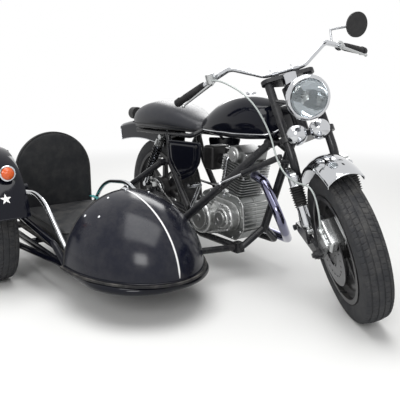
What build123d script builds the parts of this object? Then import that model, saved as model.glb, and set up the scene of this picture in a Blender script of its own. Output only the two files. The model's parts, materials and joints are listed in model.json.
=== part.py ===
from build123d import *
from math import cos, radians, sin, tan
import os

# Sidecar outfit: a single-cylinder roadster with a leading-link fork, and an open sports chair on its right.
# Millimetres. The model is drawn with X forward from the rear axle, Y to the rider's left and Z up from the
# ground, and is moved at the end so that the origin is on the ground under the middle of the whole outfit.

# Wheels and steering
WHEELBASE = 1440
RAKE = 27.5
STEER_GROUND_X = 1522
STEER_REST = -34
STEM_RADIUS = 15
RUNNING_GAP = 0.05
SEAT_GAP = 0.3

# Each tyre: outer diameter, width, bead diameter, rim inner depth
FRONT_TYRE = dict(diameter=628, width=114, bead=430)
REAR_TYRE = dict(diameter=640, width=122, bead=458)
SIDE_TYRE = dict(diameter=556, width=132, bead=356)
RIM_FLANGE = 13
RIM_WALL = 6
AXLE_DIAMETER = 20
SPOKES = 7

# Sidecar wheel: how far it leads the rear axle, and its distance from the motorcycle's middle plane
SIDE_LEAD = 84
TRACK = 1088

# Motorcycle frame
FRAME_TUBE = 34
DOWNTUBE = 38
HEAD_TUBE = 58
HEAD_LOW = 752
HEAD_HIGH = 938
CRADLE_HALF = 118
CRADLE_Z = 172
PIVOT_X = 440
PIVOT_Z = 262
PIVOT_BOLT = 16
SWING_HALF = 101
SEAT_RAIL_Z = 686
SEAT_RAIL_HALF = 104
REAR_GUARD_GAP = 102
REAR_GUARD_TOP = REAR_TYRE["diameter"] + REAR_GUARD_GAP
REAR_GUARD_WIDTH = REAR_TYRE["width"] + 28
REAR_GUARD_LIP = 100
REAR_GUARD_RADIUS = 1300
REAR_GUARD_MIDDLE_X = -160
REAR_GUARD_FRONT_X = 128
SHOCK_TOP = (172, 134, 664)
SHOCK_FOOT = (-14, 134, 368)

# Fork
FORK_HALF = 90
FORK_TUBE = 38
FORK_OFFSET = 44
YOKE_LOW_Z = 724
YOKE_HIGH_Z = 966
YOKE_THICK = 24
LINK_Y = 118
LINK_THICK = 14
LINK_PIVOT = (1172, 342)
LINK_SHOCK_EYE = (1368, 352)
FORK_SHOCK_TOP = (1276, 612)

# Engine
CRANK = (690, 292)
CYLINDER_LEAN = 14
FIN_PITCH = 14
FIN_THICK = 4.5

# Chair
BODY_Y = -640
NOSE_BACK_X = 665
NOSE_LENGTH = 440
NOSE_RADIUS = 300
FLOOR_TOP = 196
FLOOR_THICK = 10
FLOOR_LIP = 14
FLOOR_HALF = 236
SHELL = 5
CHAIR_TUBE = 34
CUSHION_TOP = 292
BACKREST_X = -180
BACKREST_HALF = 224
BACKREST_TOP = 700
BACKREST_THICK = 42
RAIL_HALF = 250
RAIL_TUBE = 24
GUARD_LEAD = 36
GUARD_RADIUS = 374
GUARD_Z = 300
GUARD_WIDTH = 172
GUARD_LIP = 44

steer_dir = Vector(-sin(radians(RAKE)), 0, cos(radians(RAKE)))
steer_axis = Axis((STEER_GROUND_X, 0, 0), tuple(steer_dir))


def steer_x(z):
    """Where the steering axis is at a height."""
    return STEER_GROUND_X - z * tan(radians(RAKE))


def rod(start, end, diameter, end_diameter=None):
    """Round bar, or a cone, from one point to another."""
    start, end = Vector(*start), Vector(*end)
    place = Plane(origin=start, z_dir=end - start)
    length = (end - start).length
    bottom = (Align.CENTER, Align.CENTER, Align.MIN)
    if end_diameter is None:
        return place * Cylinder(diameter / 2, length, align=bottom)
    return place * Cone(diameter / 2, end_diameter / 2, length, align=bottom)


def across(x, z, y_from, y_to, diameter, end_diameter=None):
    """Round bar along Y."""
    return rod((x, y_from, z), (x, y_to, z), diameter, end_diameter)


def tube(points, diameter, bend):
    """Bent round bar: straight runs joined by bends of one radius, or of one radius for each corner."""
    path = FilletPolyline(*points, radius=bend) if len(points) > 2 else Line(*points)
    return sweep(Plane(origin=path @ 0, z_dir=path % 0) * Circle(diameter / 2), path=path)


def spindle(start, end, corners):
    """Solid turned round the line from start to end, its corners given as (share of the line, diameter)."""
    start, end = Vector(*start), Vector(*end)
    length = (end - start).length
    outline = [(0, 0, corners[0][0] * length)]
    outline += [(diameter / 2, 0, share * length) for share, diameter in corners]
    outline += [(0, 0, corners[-1][0] * length)]
    return Plane(origin=start, z_dir=end - start) * revolve(make_face(Polyline(*outline, close=True)), axis=Axis.Z)


def block(low, high):
    """Box between two corners."""
    size = [abs(b - a) for a, b in zip(low, high)]
    middle = [(a + b) / 2 for a, b in zip(low, high)]
    return Pos(*middle) * Box(*size)


def side_plate(outline, y_from, y_to):
    """Flat plate in the XZ plane: an outline of (x, z) points, between two Y values."""
    face = make_face(Polyline(*[(x, y_from, z) for x, z in outline], close=True))
    return extrude(face, amount=y_to - y_from, dir=(0, 1, 0))


def both_sides(shape):
    """The shape and its mirror image across the motorcycle's middle plane."""
    return shape + mirror(shape, about=Plane.XZ)


def turned(profile_edges):
    """Solid of revolution about Y, from a closed outline of edges in the YZ plane."""
    return revolve(make_face(profile_edges), axis=Axis.Y)


def tyre(diameter, width, bead):
    """Tyre with a nearly flat tread, rounded shoulders and bulging walls, centred on the origin."""
    top = diameter / 2
    low = bead / 2
    half = width / 2
    seat = half - 9
    crown_drop = 5
    tread = half - 17
    shoulder_r = top - 20
    shoulder = half - 3
    bead_top = low + RIM_FLANGE

    def side(sign):
        wall = ThreePointArc(
            (0, sign * seat, bead_top), (0, sign * half, (bead_top + shoulder_r) / 2), (0, sign * shoulder, shoulder_r)
        )
        edge = ThreePointArc(
            (0, sign * shoulder, shoulder_r), (0, sign * (half - 7), top - 9.5), (0, sign * tread, top - crown_drop)
        )
        return [Line((0, sign * seat, low), (0, sign * seat, bead_top)), wall, edge]

    crown = ThreePointArc((0, tread, top - crown_drop), (0, 0, top), (0, -tread, top - crown_drop))
    base = Line((0, seat, low), (0, -seat, low))
    return turned([*side(1), crown, *side(-1), base])


def rim(diameter, width, bead):
    """Deep well rim with turned-up flanges."""
    low = bead / 2
    seat = width / 2 - 9
    out = seat + RIM_WALL
    half_outline = [
        (0, low),
        (seat, low),
        (seat, low + RIM_FLANGE),
        (out, low + RIM_FLANGE),
        (out, low - RIM_WALL),
        (seat - 12, low - RIM_WALL - 2),
        (22, low - 30),
        (0, low - 30),
    ]
    right = [(0, y, r) for y, r in half_outline]
    left = [(0, -y, r) for y, r in reversed(half_outline[1:-1])]
    return turned(Polyline(*right, *left, close=True))


def cast_wheel(size, hub_diameter, hub_half, bore):
    """Rim, hub and tapered cast spokes with a rib down the middle of each."""
    low = size["bead"] / 2
    wheel = rim(**size) + across(0, 0, -hub_half, hub_half, hub_diameter)
    reach = low - 24
    root = hub_diameter / 2 - 8
    spoke = loft([
        Plane((0, 0, root)) * RectangleRounded(40, 30, 8),
        Plane((0, 0, reach)) * RectangleRounded(26, 22, 6),
    ])
    for turn in range(SPOKES):
        wheel += Rot(0, turn * 360 / SPOKES, 0) * spoke
    return wheel - across(0, 0, -hub_half - 1, hub_half + 1, bore)


def brake_disc(y_middle, thickness, outer, inner, holes):
    """Drilled disc on a spider, facing along Y."""
    disc = across(0, 0, y_middle - thickness / 2, y_middle + thickness / 2, outer)
    disc -= across(0, 0, y_middle - thickness, y_middle + thickness, inner)
    hole = across(0, (outer + inner) / 4, y_middle - thickness, y_middle + thickness, 9)
    for turn in range(holes):
        disc -= Rot(0, turn * 360 / holes, 0) * hole
    return disc


def shell_guard(centre, outer_radius, width, lip, start, end, thickness=3):
    """Mudguard: a crowned strip round part of a wheel, with side lips, from one angle to another (0 is forward)."""
    half = width / 2
    crown = 14
    edge = outer_radius - crown
    outer = [
        ThreePointArc((0, half, edge), (0, 0, outer_radius), (0, -half, edge)),
        Line((0, -half, edge), (0, -half, edge - lip)),
        Line((0, -half, edge - lip), (0, -half + thickness, edge - lip)),
        Line((0, -half + thickness, edge - lip), (0, -half + thickness, edge - thickness)),
        ThreePointArc(
            (0, -half + thickness, edge - thickness), (0, 0, outer_radius - thickness), (0, half - thickness, edge - thickness)
        ),
        Line((0, half - thickness, edge - thickness), (0, half - thickness, edge - lip)),
        Line((0, half - thickness, edge - lip), (0, half, edge - lip)),
        Line((0, half, edge - lip), (0, half, edge)),
    ]
    face = Rot(0, 90 - start, 0) * make_face(outer)
    strip = revolve(face, axis=Axis((0, 0, 0), (0, -1, 0)), revolution_arc=end - start)
    return Pos(*centre) * strip


def coil_damper(top, foot, body, coil, wire, turns, cap):
    """Spring strut between two eyes: a chrome cap, a stack of coils round a slim rod, and the damper's body."""
    top, foot = Vector(*top), Vector(*foot)
    run = foot - top
    length = run.length

    def at(distance):
        return tuple(top + run * (distance / length))

    strut = rod(at(0), at(length), body)
    strut += rod(at(16), at(58), cap * 0.9, cap)
    first, last = 60, length * 0.76
    pitch = (last - first) / turns
    for turn in range(turns):
        middle = first + (turn + 0.5) * pitch
        strut += rod(at(middle - wire / 2), at(middle + wire / 2), coil)
    strut += rod(at(last), at(last + 8), cap)
    strut += rod(at(last + 8), at(length - 14), body * 2)
    for eye in (top, foot):
        strut += across(eye.X, eye.Z, eye.Y - 13, eye.Y + 13, 30)
    return strut


def round_cover(x, z, y_from, y_to, diameter, edge):
    """Round cover along Y with a rounded outer edge."""
    disc = across(x, z, y_from, y_to, diameter)
    outer = disc.edges().group_by(Axis.Y)[-1 if y_to > y_from else 0]
    return fillet(outer, edge)


# Front wheel height: the tilted tyre just meets the ground when the steering is at rest
def steered(shape):
    """Turns a straight-ahead shape to the rest position of the steering."""
    return shape.rotate(steer_axis, STEER_REST)


level_tyre = Pos(WHEELBASE, 0, FRONT_TYRE["diameter"] / 2) * tyre(**FRONT_TYRE)
tyre_sink = steered(level_tyre).bounding_box().min.Z
rise = cos(radians(STEER_REST)) + steer_dir.Z**2 * (1 - cos(radians(STEER_REST)))
FRONT_AXLE_Z = FRONT_TYRE["diameter"] / 2 - tyre_sink / rise
front_axle = (WHEELBASE, 0, FRONT_AXLE_Z)
rear_axle = (0, 0, REAR_TYRE["diameter"] / 2)
side_axle = (SIDE_LEAD, -TRACK, SIDE_TYRE["diameter"] / 2)


# Wheels
FRONT_HUB_HALF = 52
REAR_HUB_HALF = 60
SIDE_HUB_HALF = 48
DISC_Y = -66
DISC_THICK = 5
DISC_DIAMETER = 296
CHAIN_Y = 72
FRONT_SPROCKET = (498, 342, 84)
REAR_SPROCKET_DIAMETER = 196
AXLE_BORE = AXLE_DIAMETER + 2 * RUNNING_GAP


def front_wheel():
    wheel = cast_wheel(FRONT_TYRE, 96, FRONT_HUB_HALF, AXLE_BORE)
    carrier = across(0, 0, DISC_Y + DISC_THICK / 2, -FRONT_HUB_HALF, 150)
    carrier -= across(0, 0, DISC_Y - 1, -FRONT_HUB_HALF + 1, AXLE_BORE)
    return Pos(*front_axle) * (wheel + carrier)


def front_disc():
    return Pos(*front_axle) * brake_disc(DISC_Y, DISC_THICK, DISC_DIAMETER, 130, 24)


def rear_wheel():
    drum = across(0, 0, -REAR_HUB_HALF, -20, 168)
    drum -= across(0, 0, -REAR_HUB_HALF - 1, -19, AXLE_BORE)
    return Pos(*rear_axle) * (cast_wheel(REAR_TYRE, 120, REAR_HUB_HALF, AXLE_BORE) + drum)


def rear_sprocket():
    """Toothed ring on the left of the rear hub, on a boss that brings it out to the chain's line."""
    ring = across(0, 0, CHAIN_Y - 3, CHAIN_Y + 3, REAR_SPROCKET_DIAMETER)
    ring += across(0, 0, REAR_HUB_HALF, CHAIN_Y, 110)
    ring -= across(0, 0, REAR_HUB_HALF - 1, CHAIN_Y + 4, AXLE_BORE)
    window = across(0, 74, CHAIN_Y - 4, CHAIN_Y + 4, 22)
    for turn in range(8):
        ring -= Rot(0, turn * 45, 0) * window
    return Pos(*rear_axle) * ring


def side_wheel():
    return Pos(*side_axle) * cast_wheel(SIDE_TYRE, 100, SIDE_HUB_HALF, AXLE_BORE)


# Motorcycle frame
CRADLE_OUT = CRADLE_HALF + FRAME_TUBE / 2
STRUT_TOP = (985, -58, 690)
STRUT_FOOT = (562, -352, 214)
STRUT_TUBE = 40
REAR_STRUT_TOP = (206, -158, 524)
REAR_STRUT_FOOT = (-20, -352, 306)
LOW_LINK_FRONT = (840, 760)
LOW_LINK_REAR = (440, 330)
LINK_TUBE = 32


def frame():
    head_low = (steer_x(HEAD_LOW), 0, HEAD_LOW)
    head_high = (steer_x(HEAD_HIGH), 0, HEAD_HIGH)
    shape = rod(head_low, head_high, HEAD_TUBE)
    shape += rod((steer_x(850) - 8, 0, 850), (470, 0, 742), 44)
    shape += rod((steer_x(792) - 6, 0, 792), (896, 0, 250), DOWNTUBE)
    shape += rod((1052, 0, 656), (780, 0, 792), 30)
    cradle = tube(
        [
            (900, -8, 262),
            (862, -CRADLE_HALF, CRADLE_Z),
            (520, -CRADLE_HALF, CRADLE_Z),
            (PIVOT_X, -CRADLE_HALF, PIVOT_Z),
            (244, -CRADLE_HALF, 520),
            (200, -SEAT_RAIL_HALF, SEAT_RAIL_Z),
        ],
        FRAME_TUBE,
        [40, 60, 60, 60],
    )
    rail = tube([(478, -14, 740), (430, -SEAT_RAIL_HALF, SEAT_RAIL_Z), (-150, -SEAT_RAIL_HALF, SEAT_RAIL_Z)], 26, 40)
    lug = across(SHOCK_TOP[0], SHOCK_TOP[2], -SHOCK_TOP[1] + 13, -SEAT_RAIL_HALF, 26)
    shape += both_sides(cradle + rail + lug)
    for stay_x in (-140, 60):
        shape += both_sides(across(stay_x, SEAT_RAIL_Z, -SEAT_RAIL_HALF, -REAR_GUARD_WIDTH / 2, 16))
    shape += across(STRUT_TOP[0], STRUT_TOP[2], STRUT_TOP[1] + 18, 0, 28)
    shape += rod((REAR_STRUT_TOP[0] + 30, -CRADLE_HALF, REAR_STRUT_TOP[2]), (REAR_STRUT_TOP[0], -136, REAR_STRUT_TOP[2]), 28)
    shape -= across(PIVOT_X, PIVOT_Z, -CRADLE_OUT - 20, CRADLE_OUT + 20, PIVOT_BOLT)
    low, high = HEAD_LOW - 20, HEAD_HIGH + 20
    return shape - rod((steer_x(low), 0, low), (steer_x(high), 0, high), 2 * (STEM_RADIUS + RUNNING_GAP))


def swingarm():
    """Fork round the rear wheel, its pivot bolt and the fixed rear axle."""
    route = [(PIVOT_X, -84, PIVOT_Z), (424, -86, 264), (390, -SWING_HALF, 268), (0, -SWING_HALF, rear_axle[2])]
    arm = tube(route, 30, [50, 60])
    lug = side_plate([(-34, 296), (40, 302), (24, 372), (-40, 388)], -SHOCK_FOOT[1] + 16, -SWING_HALF - 12)
    lug += across(SHOCK_FOOT[0], SHOCK_FOOT[2], -SHOCK_FOOT[1] + 13 + SEAT_GAP, -SWING_HALF - 12, 24)
    lug += across(0, rear_axle[2], -SWING_HALF - 20, -SWING_HALF + 16, 50)
    shape = both_sides(arm + lug)
    half = CRADLE_HALF - FRAME_TUBE / 2
    shape += across(PIVOT_X, PIVOT_Z, -half, half, 34)
    shape += across(PIVOT_X, PIVOT_Z, -CRADLE_OUT - 9, CRADLE_OUT + 9, PIVOT_BOLT)
    return shape + across(0, rear_axle[2], -SWING_HALF - 34, SWING_HALF + 34, AXLE_DIAMETER)


def rear_shock(side):
    """Spring strut at one side, from the seat rail to the swingarm."""
    top = (SHOCK_TOP[0], side * SHOCK_TOP[1], SHOCK_TOP[2])
    foot = (SHOCK_FOOT[0], side * SHOCK_FOOT[1], SHOCK_FOOT[2])
    return coil_damper(top, foot, 14, 52, 8, 11, 52)


def rear_brake_panel():
    """Cover of the drum on the right of the rear hub, with its cam lever and rod."""
    face = -REAR_HUB_HALF - SEAT_GAP
    panel = round_cover(0, 0, face, face - 20, 150, 9)
    panel += across(-20, 58, face - 15, face - 34, 16) + side_plate([(-28, 50), (-12, 50), (-6, 132), (-18, 132)], face - 34, face - 28)
    panel -= across(0, 0, face + 1, face - 40, AXLE_DIAMETER)
    return Pos(*rear_axle) * panel


def rear_guard():
    """Shallow arc over the tyre, run up under the seat and out behind it nearly level."""
    middle = (REAR_GUARD_MIDDLE_X, 0, REAR_GUARD_TOP - REAR_GUARD_RADIUS)
    return shell_guard(middle, REAR_GUARD_RADIUS, REAR_GUARD_WIDTH, REAR_GUARD_LIP, 77.4, 102.6)


def tail_lamp():
    """Round lamp on a stem at the end of the rear guard."""
    lamp_z = REAR_GUARD_TOP + 34
    lamp = rod((-330, 0, lamp_z), (-386, 0, lamp_z), 78) + rod((-386, 0, lamp_z), (-398, 0, lamp_z), 70, 58)
    return lamp + block((-346, -20, REAR_GUARD_TOP - 15), (-338, 20, lamp_z))


# Tank and seat: sections across X
def bowed_section(x, base_half, half, shoulder_half, low, middle, shoulder, top):
    """Flat base, one bowed wall at each side and a crowned top."""
    outline = [
        Line((x, -base_half, low), (x, base_half, low)),
        ThreePointArc((x, base_half, low), (x, half, middle), (x, shoulder_half, shoulder)),
        ThreePointArc((x, shoulder_half, shoulder), (x, 0, top), (x, -shoulder_half, shoulder)),
        ThreePointArc((x, -shoulder_half, shoulder), (x, -half, middle), (x, -base_half, low)),
    ]
    return make_face(outline)


# x, base half, half, shoulder half, low, middle, shoulder, top
TANK_SECTIONS = [
    (1026, 58, 78, 54, 722, 768, 808, 820),
    (962, 92, 122, 84, 708, 770, 860, 882),
    (800, 110, 134, 92, 698, 776, 886, 912),
    (620, 106, 118, 74, 704, 770, 848, 872),
    (476, 82, 84, 44, 718, 748, 780, 792),
]
SEAT_SECTIONS = [
    (468, 56, 58, 40, 706, 726, 750, 758),
    (380, 92, 98, 70, 704, 742, 780, 792),
    (220, 128, 146, 106, 704, 768, 832, 846),
    (40, 146, 166, 122, 704, 776, 848, 866),
    (-100, 136, 152, 108, 706, 768, 822, 836),
    (-182, 92, 100, 74, 718, 742, 766, 774),
]
CAP_X = 786
CAP_Z = 908


def tank():
    body = loft([bowed_section(*row) for row in TANK_SECTIONS])
    body -= side_plate([(440, 700), (1060, 680), (1060, 884), (440, 770)], -34, 34)
    body -= across(STRUT_TOP[0], STRUT_TOP[2], STRUT_TOP[1] - 30, 0, 52)
    body -= Pos(CAP_X, 0, CAP_Z) * Cylinder(30, 26)
    return body - frame_solid


def tank_cap():
    return Pos(CAP_X, 0, CAP_Z) * Cylinder(30, 26) + Pos(CAP_X, 0, CAP_Z + 17) * Cylinder(24, 8)


def seat():
    half = REAR_GUARD_WIDTH / 2 + SEAT_GAP
    tunnel = block((SEAT_SECTIONS[-1][0] - 1, -half, SEAT_RAIL_Z), (REAR_GUARD_FRONT_X, half, REAR_GUARD_TOP + SEAT_GAP))
    return loft([bowed_section(*row) for row in SEAT_SECTIONS]) - frame_solid - tunnel


# Engine
CASE_HALF = 88
COVER_X = 610
COVER_Z = 290


def crankcase():
    outline = [(500, 236), (560, 196), (792, 190), (846, 256), (838, 372), (800, 408), (610, 430), (516, 396), (484, 320)]
    shape = side_plate(outline, -CASE_HALF, CASE_HALF)
    shape = fillet(shape.edges().filter_by(Axis.Y), 16)
    oval = make_hull([*(Pos(COVER_X, COVER_Z) * Circle(98)).edges(), *(Pos(746, 306) * Circle(70)).edges()])
    right = Pos(0, -CASE_HALF, 0) * Rot(90, 0, 0) * extrude(oval, amount=56)
    shape += fillet(right.faces().sort_by(Axis.Y)[0].edges(), 16)
    shape += round_cover(COVER_X, COVER_Z, -CASE_HALF - 55, -CASE_HALF - 104, 172, 18)
    shape += round_cover(752, 306, -CASE_HALF - 55, -CASE_HALF - 76, 108, 12)
    shape += round_cover(706, 296, CASE_HALF, CASE_HALF + 54, 184, 20)
    shape += round_cover(FRONT_SPROCKET[0] + 20, FRONT_SPROCKET[1], CASE_HALF, CASE_HALF + 12, 120, 5)
    shape -= across(PIVOT_X, PIVOT_Z, -120, 120, 52)
    return shape


def leaned(shape):
    """Engine parts are drawn upright on the crankshaft and leaned forward with the cylinder."""
    return Pos(CRANK[0], 0, CRANK[1]) * Rot(0, CYLINDER_LEAN, 0) * shape


INTAKE = ((704, 0, 583), (560, 0, 570))
INTAKE_TUBE = 54
BARREL_TOP = 234
HEAD_TOP = 326


def finned(low, first, high, length, width, core):
    """Core between two heights above the crankshaft, with square cooling fins from the first one up."""
    shape = Pos(0, 0, (low + high) / 2) * Cylinder(core / 2, high - low)
    level = first + FIN_THICK / 2
    while level < high - FIN_THICK:
        shape += Pos(0, 0, level) * extrude(RectangleRounded(length, width, 26), amount=FIN_THICK / 2, both=True)
        level += FIN_PITCH
    return shape


def barrel():
    return leaned(finned(104, 146, BARREL_TOP, 168, 172, 128)) - crankcase_solid


def cylinder_head():
    fins = finned(BARREL_TOP, BARREL_TOP, HEAD_TOP - 10, 186, 186, 134)
    cover = Pos(0, 0, HEAD_TOP + 14) * Box(130, 150, 48)
    cover = fillet(cover.edges().filter_by(Axis.Y) + cover.edges().filter_by(Axis.Z), 14)
    cover += Pos(4, -84, HEAD_TOP + 14) * Rot(90, 0, 0) * Cylinder(40, 24)
    cover += Pos(4, 84, HEAD_TOP + 14) * Rot(90, 0, 0) * Cylinder(34, 20)
    port = Pos(88, -30, BARREL_TOP + 32) * Rot(0, 90, 0) * Cylinder(32, 40)
    return leaned(fins + cover + port) - exhaust_solid - rod(*INTAKE, INTAKE_TUBE)


EXHAUST_START = leaned(Pos(90, -30, BARREL_TOP + 32)).position
SILENCER_START = Vector(650, 178, 192)
SILENCER_END = Vector(-190, 207, 247)


def exhaust_header():
    back = (SILENCER_START - SILENCER_END).normalized()
    route = [
        tuple(EXHAUST_START),
        (944, -48, EXHAUST_START.Z - 21),
        (1070, -64, 356),
        (1004, 40, 258),
        tuple(SILENCER_START + back * 250),
        tuple(SILENCER_START + back * SEAT_GAP),
    ]
    return tube(route, 44, [60, 70, 60, 60])


def silencer():
    """Long can with a cone at each end, open at the back."""
    corners = [(0, 50), (0.13, 84), (0.95, 84), (1, 60), (1, 40), (0.965, 40)]
    return spindle(SILENCER_START, SILENCER_END, corners)


def carburettor():
    """Carburettor on its intake stub, with the air filter's drum behind it."""
    shape = rod(*INTAKE, INTAKE_TUBE) + rod((622, 0, 594), (622, 0, 496), 50)
    shape += rod((622, 0, 590), (626, 0, 634), 44)
    shape += fillet(block((476, -64, 512), (562, 64, 640)).edges(), 16)
    return shape - barrel_solid


def side_cover(side):
    """Three-cornered cover over the frame's rear triangle."""
    y = CRADLE_OUT + 2
    plate = side_plate([(262, 654), (548, 672), (520, 610), (372, 512), (300, 520)], -y - 14, -y)
    plate = fillet(plate.edges().filter_by(Axis.Y), 14)
    plate = chamfer(plate.faces().sort_by(Axis.Y)[0].edges(), 5)
    plate += rod((400, -y - 4, 652), (400, -SEAT_RAIL_HALF - 6, 680), 14)
    plate += rod((306, -y - 4, 556), (238, -CRADLE_HALF - 4, 534), 14)
    plate -= frame_solid
    return plate if side < 0 else mirror(plate, about=Plane.XZ)


def strand(outer, low, high):
    """Closed band round both sprockets: everything within a distance of their pitch circles."""
    x, z, diameter = FRONT_SPROCKET
    circles = make_hull([
        *(Pos(x, z) * Circle(diameter / 2 + outer)).edges(),
        *(Pos(0, rear_axle[2]) * Circle(REAR_SPROCKET_DIAMETER / 2 + outer)).edges(),
    ])
    return Pos(0, high, 0) * Rot(90, 0, 0) * extrude(circles, amount=high - low)


def chain():
    """Two rows of side plates with the rollers' band between them."""
    shape = strand(9, CHAIN_Y - 8, CHAIN_Y - 5) + strand(9, CHAIN_Y + 5, CHAIN_Y + 8) + strand(7, CHAIN_Y - 5, CHAIN_Y + 5)
    return shape - strand(1, CHAIN_Y - 9, CHAIN_Y + 9) - crankcase_solid


def footrests():
    """Rider's two pegs, each on the cradle."""
    return both_sides(across(466, 262, -CRADLE_HALF, -CRADLE_HALF - 120, 30)) - frame_solid - swingarm_solid


def kickstarter():
    out = -CASE_HALF - 104 - SEAT_GAP
    lever = rod((560, out - 10, 330), (648, out - 12, 466), 18) + across(648, 466, out - 12, out - 86, 22)
    return lever + across(560, 330, out, out - 20, 34)


# Chair
def half_dome(shrink):
    """Quarter of an ellipsoid: a round arch at the back, its base flat, and its tip in front."""
    length, radius = NOSE_LENGTH - shrink, NOSE_RADIUS - shrink
    return scale(Sphere(1), by=(length, radius, radius)) & block((0, -500, 0), (600, 500, 500))


def nose():
    """Thin cowl over the passenger's feet, with a lip round its open arch."""
    shell = Pos(NOSE_BACK_X, BODY_Y, FLOOR_TOP) * half_dome(0)
    shell -= Pos(NOSE_BACK_X - 1, BODY_Y, FLOOR_TOP) * half_dome(SHELL)
    start, end = (NOSE_BACK_X - 14, BODY_Y, FLOOR_TOP), (NOSE_BACK_X, BODY_Y, FLOOR_TOP)
    lip = rod(start, end, 2 * NOSE_RADIUS) - rod(start, end, 2 * NOSE_RADIUS - 24)
    keep = block((NOSE_BACK_X - 20, BODY_Y - 400, FLOOR_TOP), (NOSE_BACK_X, BODY_Y + 400, FLOOR_TOP + 400))
    return shell + (lip & keep)


def chair_floor():
    """Flat floor: straight sides behind the arch and an elliptical front that stands out round the nose."""
    front = Pos(NOSE_BACK_X, BODY_Y) * Ellipse(NOSE_LENGTH + FLOOR_LIP, NOSE_RADIUS + FLOOR_LIP)
    front &= Pos(NOSE_BACK_X + 400, BODY_Y) * Rectangle(800, 800)
    tail = BACKREST_X - BACKREST_THICK - 8
    back = Pos((NOSE_BACK_X + tail) / 2, BODY_Y) * Rectangle(NOSE_BACK_X - tail, 2 * FLOOR_HALF)
    arch = Pos(NOSE_BACK_X - 9, BODY_Y) * Rectangle(18, 2 * (NOSE_RADIUS + FLOOR_LIP))
    return Pos(0, 0, FLOOR_TOP - FLOOR_THICK) * extrude(front + back + arch, amount=FLOOR_THICK)


def cushion():
    low = (BACKREST_X + 4, BODY_Y - FLOOR_HALF + 16, FLOOR_TOP + SEAT_GAP)
    high = (470, BODY_Y + FLOOR_HALF - 16, CUSHION_TOP)
    return fillet(block(low, high).edges().filter_by(Axis.Z), 30)


def backrest():
    """Upright board with a round top."""
    base = FLOOR_TOP + SEAT_GAP
    spring = BACKREST_TOP - BACKREST_HALF
    left, right = BODY_Y - BACKREST_HALF, BODY_Y + BACKREST_HALF
    outline = [
        Line((0, left, base), (0, right, base)),
        Line((0, right, base), (0, right, spring)),
        ThreePointArc((0, right, spring), (0, BODY_Y, BACKREST_TOP), (0, left, spring)),
        Line((0, left, spring), (0, left, base)),
    ]
    return Pos(BACKREST_X, 0, 0) * extrude(make_face(outline), amount=BACKREST_THICK, dir=(-1, 0, 0))


def grab_rail(side):
    """Bent rail beside the seat, from the backrest's edge to the floor at the nose."""
    y = BODY_Y + side * RAIL_HALF
    back_x = BACKREST_X - BACKREST_THICK / 2
    shape = tube([(back_x, y, 262), (-60, y, 404), (272, y, 446), (604, y, FLOOR_TOP + 20)], RAIL_TUBE, [110, 70])
    shape += across(back_x, 268, y, BODY_Y + side * (BACKREST_HALF + SEAT_GAP), 20)
    return shape + rod((604, y - side * 4, FLOOR_TOP + SEAT_GAP), (604, y - side * 4, FLOOR_TOP + 26), 30)


CHAIR_Z = FLOOR_TOP - FLOOR_THICK - CHAIR_TUBE / 2 - SEAT_GAP
CHAIR_RIGHT = BODY_Y + 268
CHAIR_LEFT = BODY_Y - 268
OUTER_RAIL_Y = BODY_Y - 290
CARRIER_Y = -TRACK + 106
STAY_Y = -TRACK + GUARD_WIDTH / 2 + 10
GUARD_X = SIDE_LEAD + GUARD_LEAD


def chair_frame():
    """Loop under the floor with cross tubes, the outer rail, the wheel's carrier and axle, and the guard's stays."""
    front = NOSE_BACK_X + NOSE_LENGTH - 24
    corners = [(-250, CHAIR_RIGHT), (front, CHAIR_RIGHT), (front, CHAIR_LEFT), (-250, CHAIR_LEFT)]
    shape = tube([(x, y, CHAIR_Z) for x, y in corners], CHAIR_TUBE, 252)
    for x in (-236, 120, 560):
        shape += rod((x, CHAIR_RIGHT, CHAIR_Z), (x, CHAIR_LEFT, CHAIR_Z), CHAIR_TUBE - 4)
    for x in (-220, 540):
        shape += rod((x, CHAIR_LEFT, CHAIR_Z), (SIDE_LEAD, CARRIER_Y, CHAIR_Z), CHAIR_TUBE - 4)
    rail = [
        (610, CHAIR_LEFT, CHAIR_Z),
        (530, OUTER_RAIL_Y, 262),
        (60, OUTER_RAIL_Y, 300),
        (-170, OUTER_RAIL_Y, 300),
        (-236, CHAIR_LEFT, CHAIR_Z),
    ]
    shape += tube(rail, 30, [50, 60, 60])
    shape += rod((SIDE_LEAD, OUTER_RAIL_Y, 297), (SIDE_LEAD, CARRIER_Y, 310), 28)
    shape += block((SIDE_LEAD - 36, CARRIER_Y - 14, CHAIR_Z - 16), (SIDE_LEAD + 36, CARRIER_Y + 10, 344))
    shape += rod((SIDE_LEAD, CARRIER_Y, side_axle[2]), (SIDE_LEAD, -TRACK - 66, side_axle[2]), AXLE_DIAMETER)
    for angle in (38, 88, 142):
        reach = GUARD_RADIUS - GUARD_LIP + 6
        x, z = GUARD_X + reach * cos(radians(angle)), GUARD_Z + reach * sin(radians(angle))
        shape += rod((SIDE_LEAD, CARRIER_Y, 330), (x, STAY_Y, z), 14)
        shape += across(x, z, STAY_Y + 8, STAY_Y - 10 + SEAT_GAP, 26)
    shape += rod((-20, CHAIR_RIGHT, CHAIR_Z), (-20, CHAIR_RIGHT, 300), 30)
    shape += rod((STRUT_FOOT[0], CHAIR_RIGHT, CHAIR_Z), (STRUT_FOOT[0], CHAIR_RIGHT, STRUT_FOOT[2] - 6), 30)
    return shape


def side_guard():
    return shell_guard((GUARD_X, -TRACK, GUARD_Z), GUARD_RADIUS, GUARD_WIDTH, GUARD_LIP, 14, 166)


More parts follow.
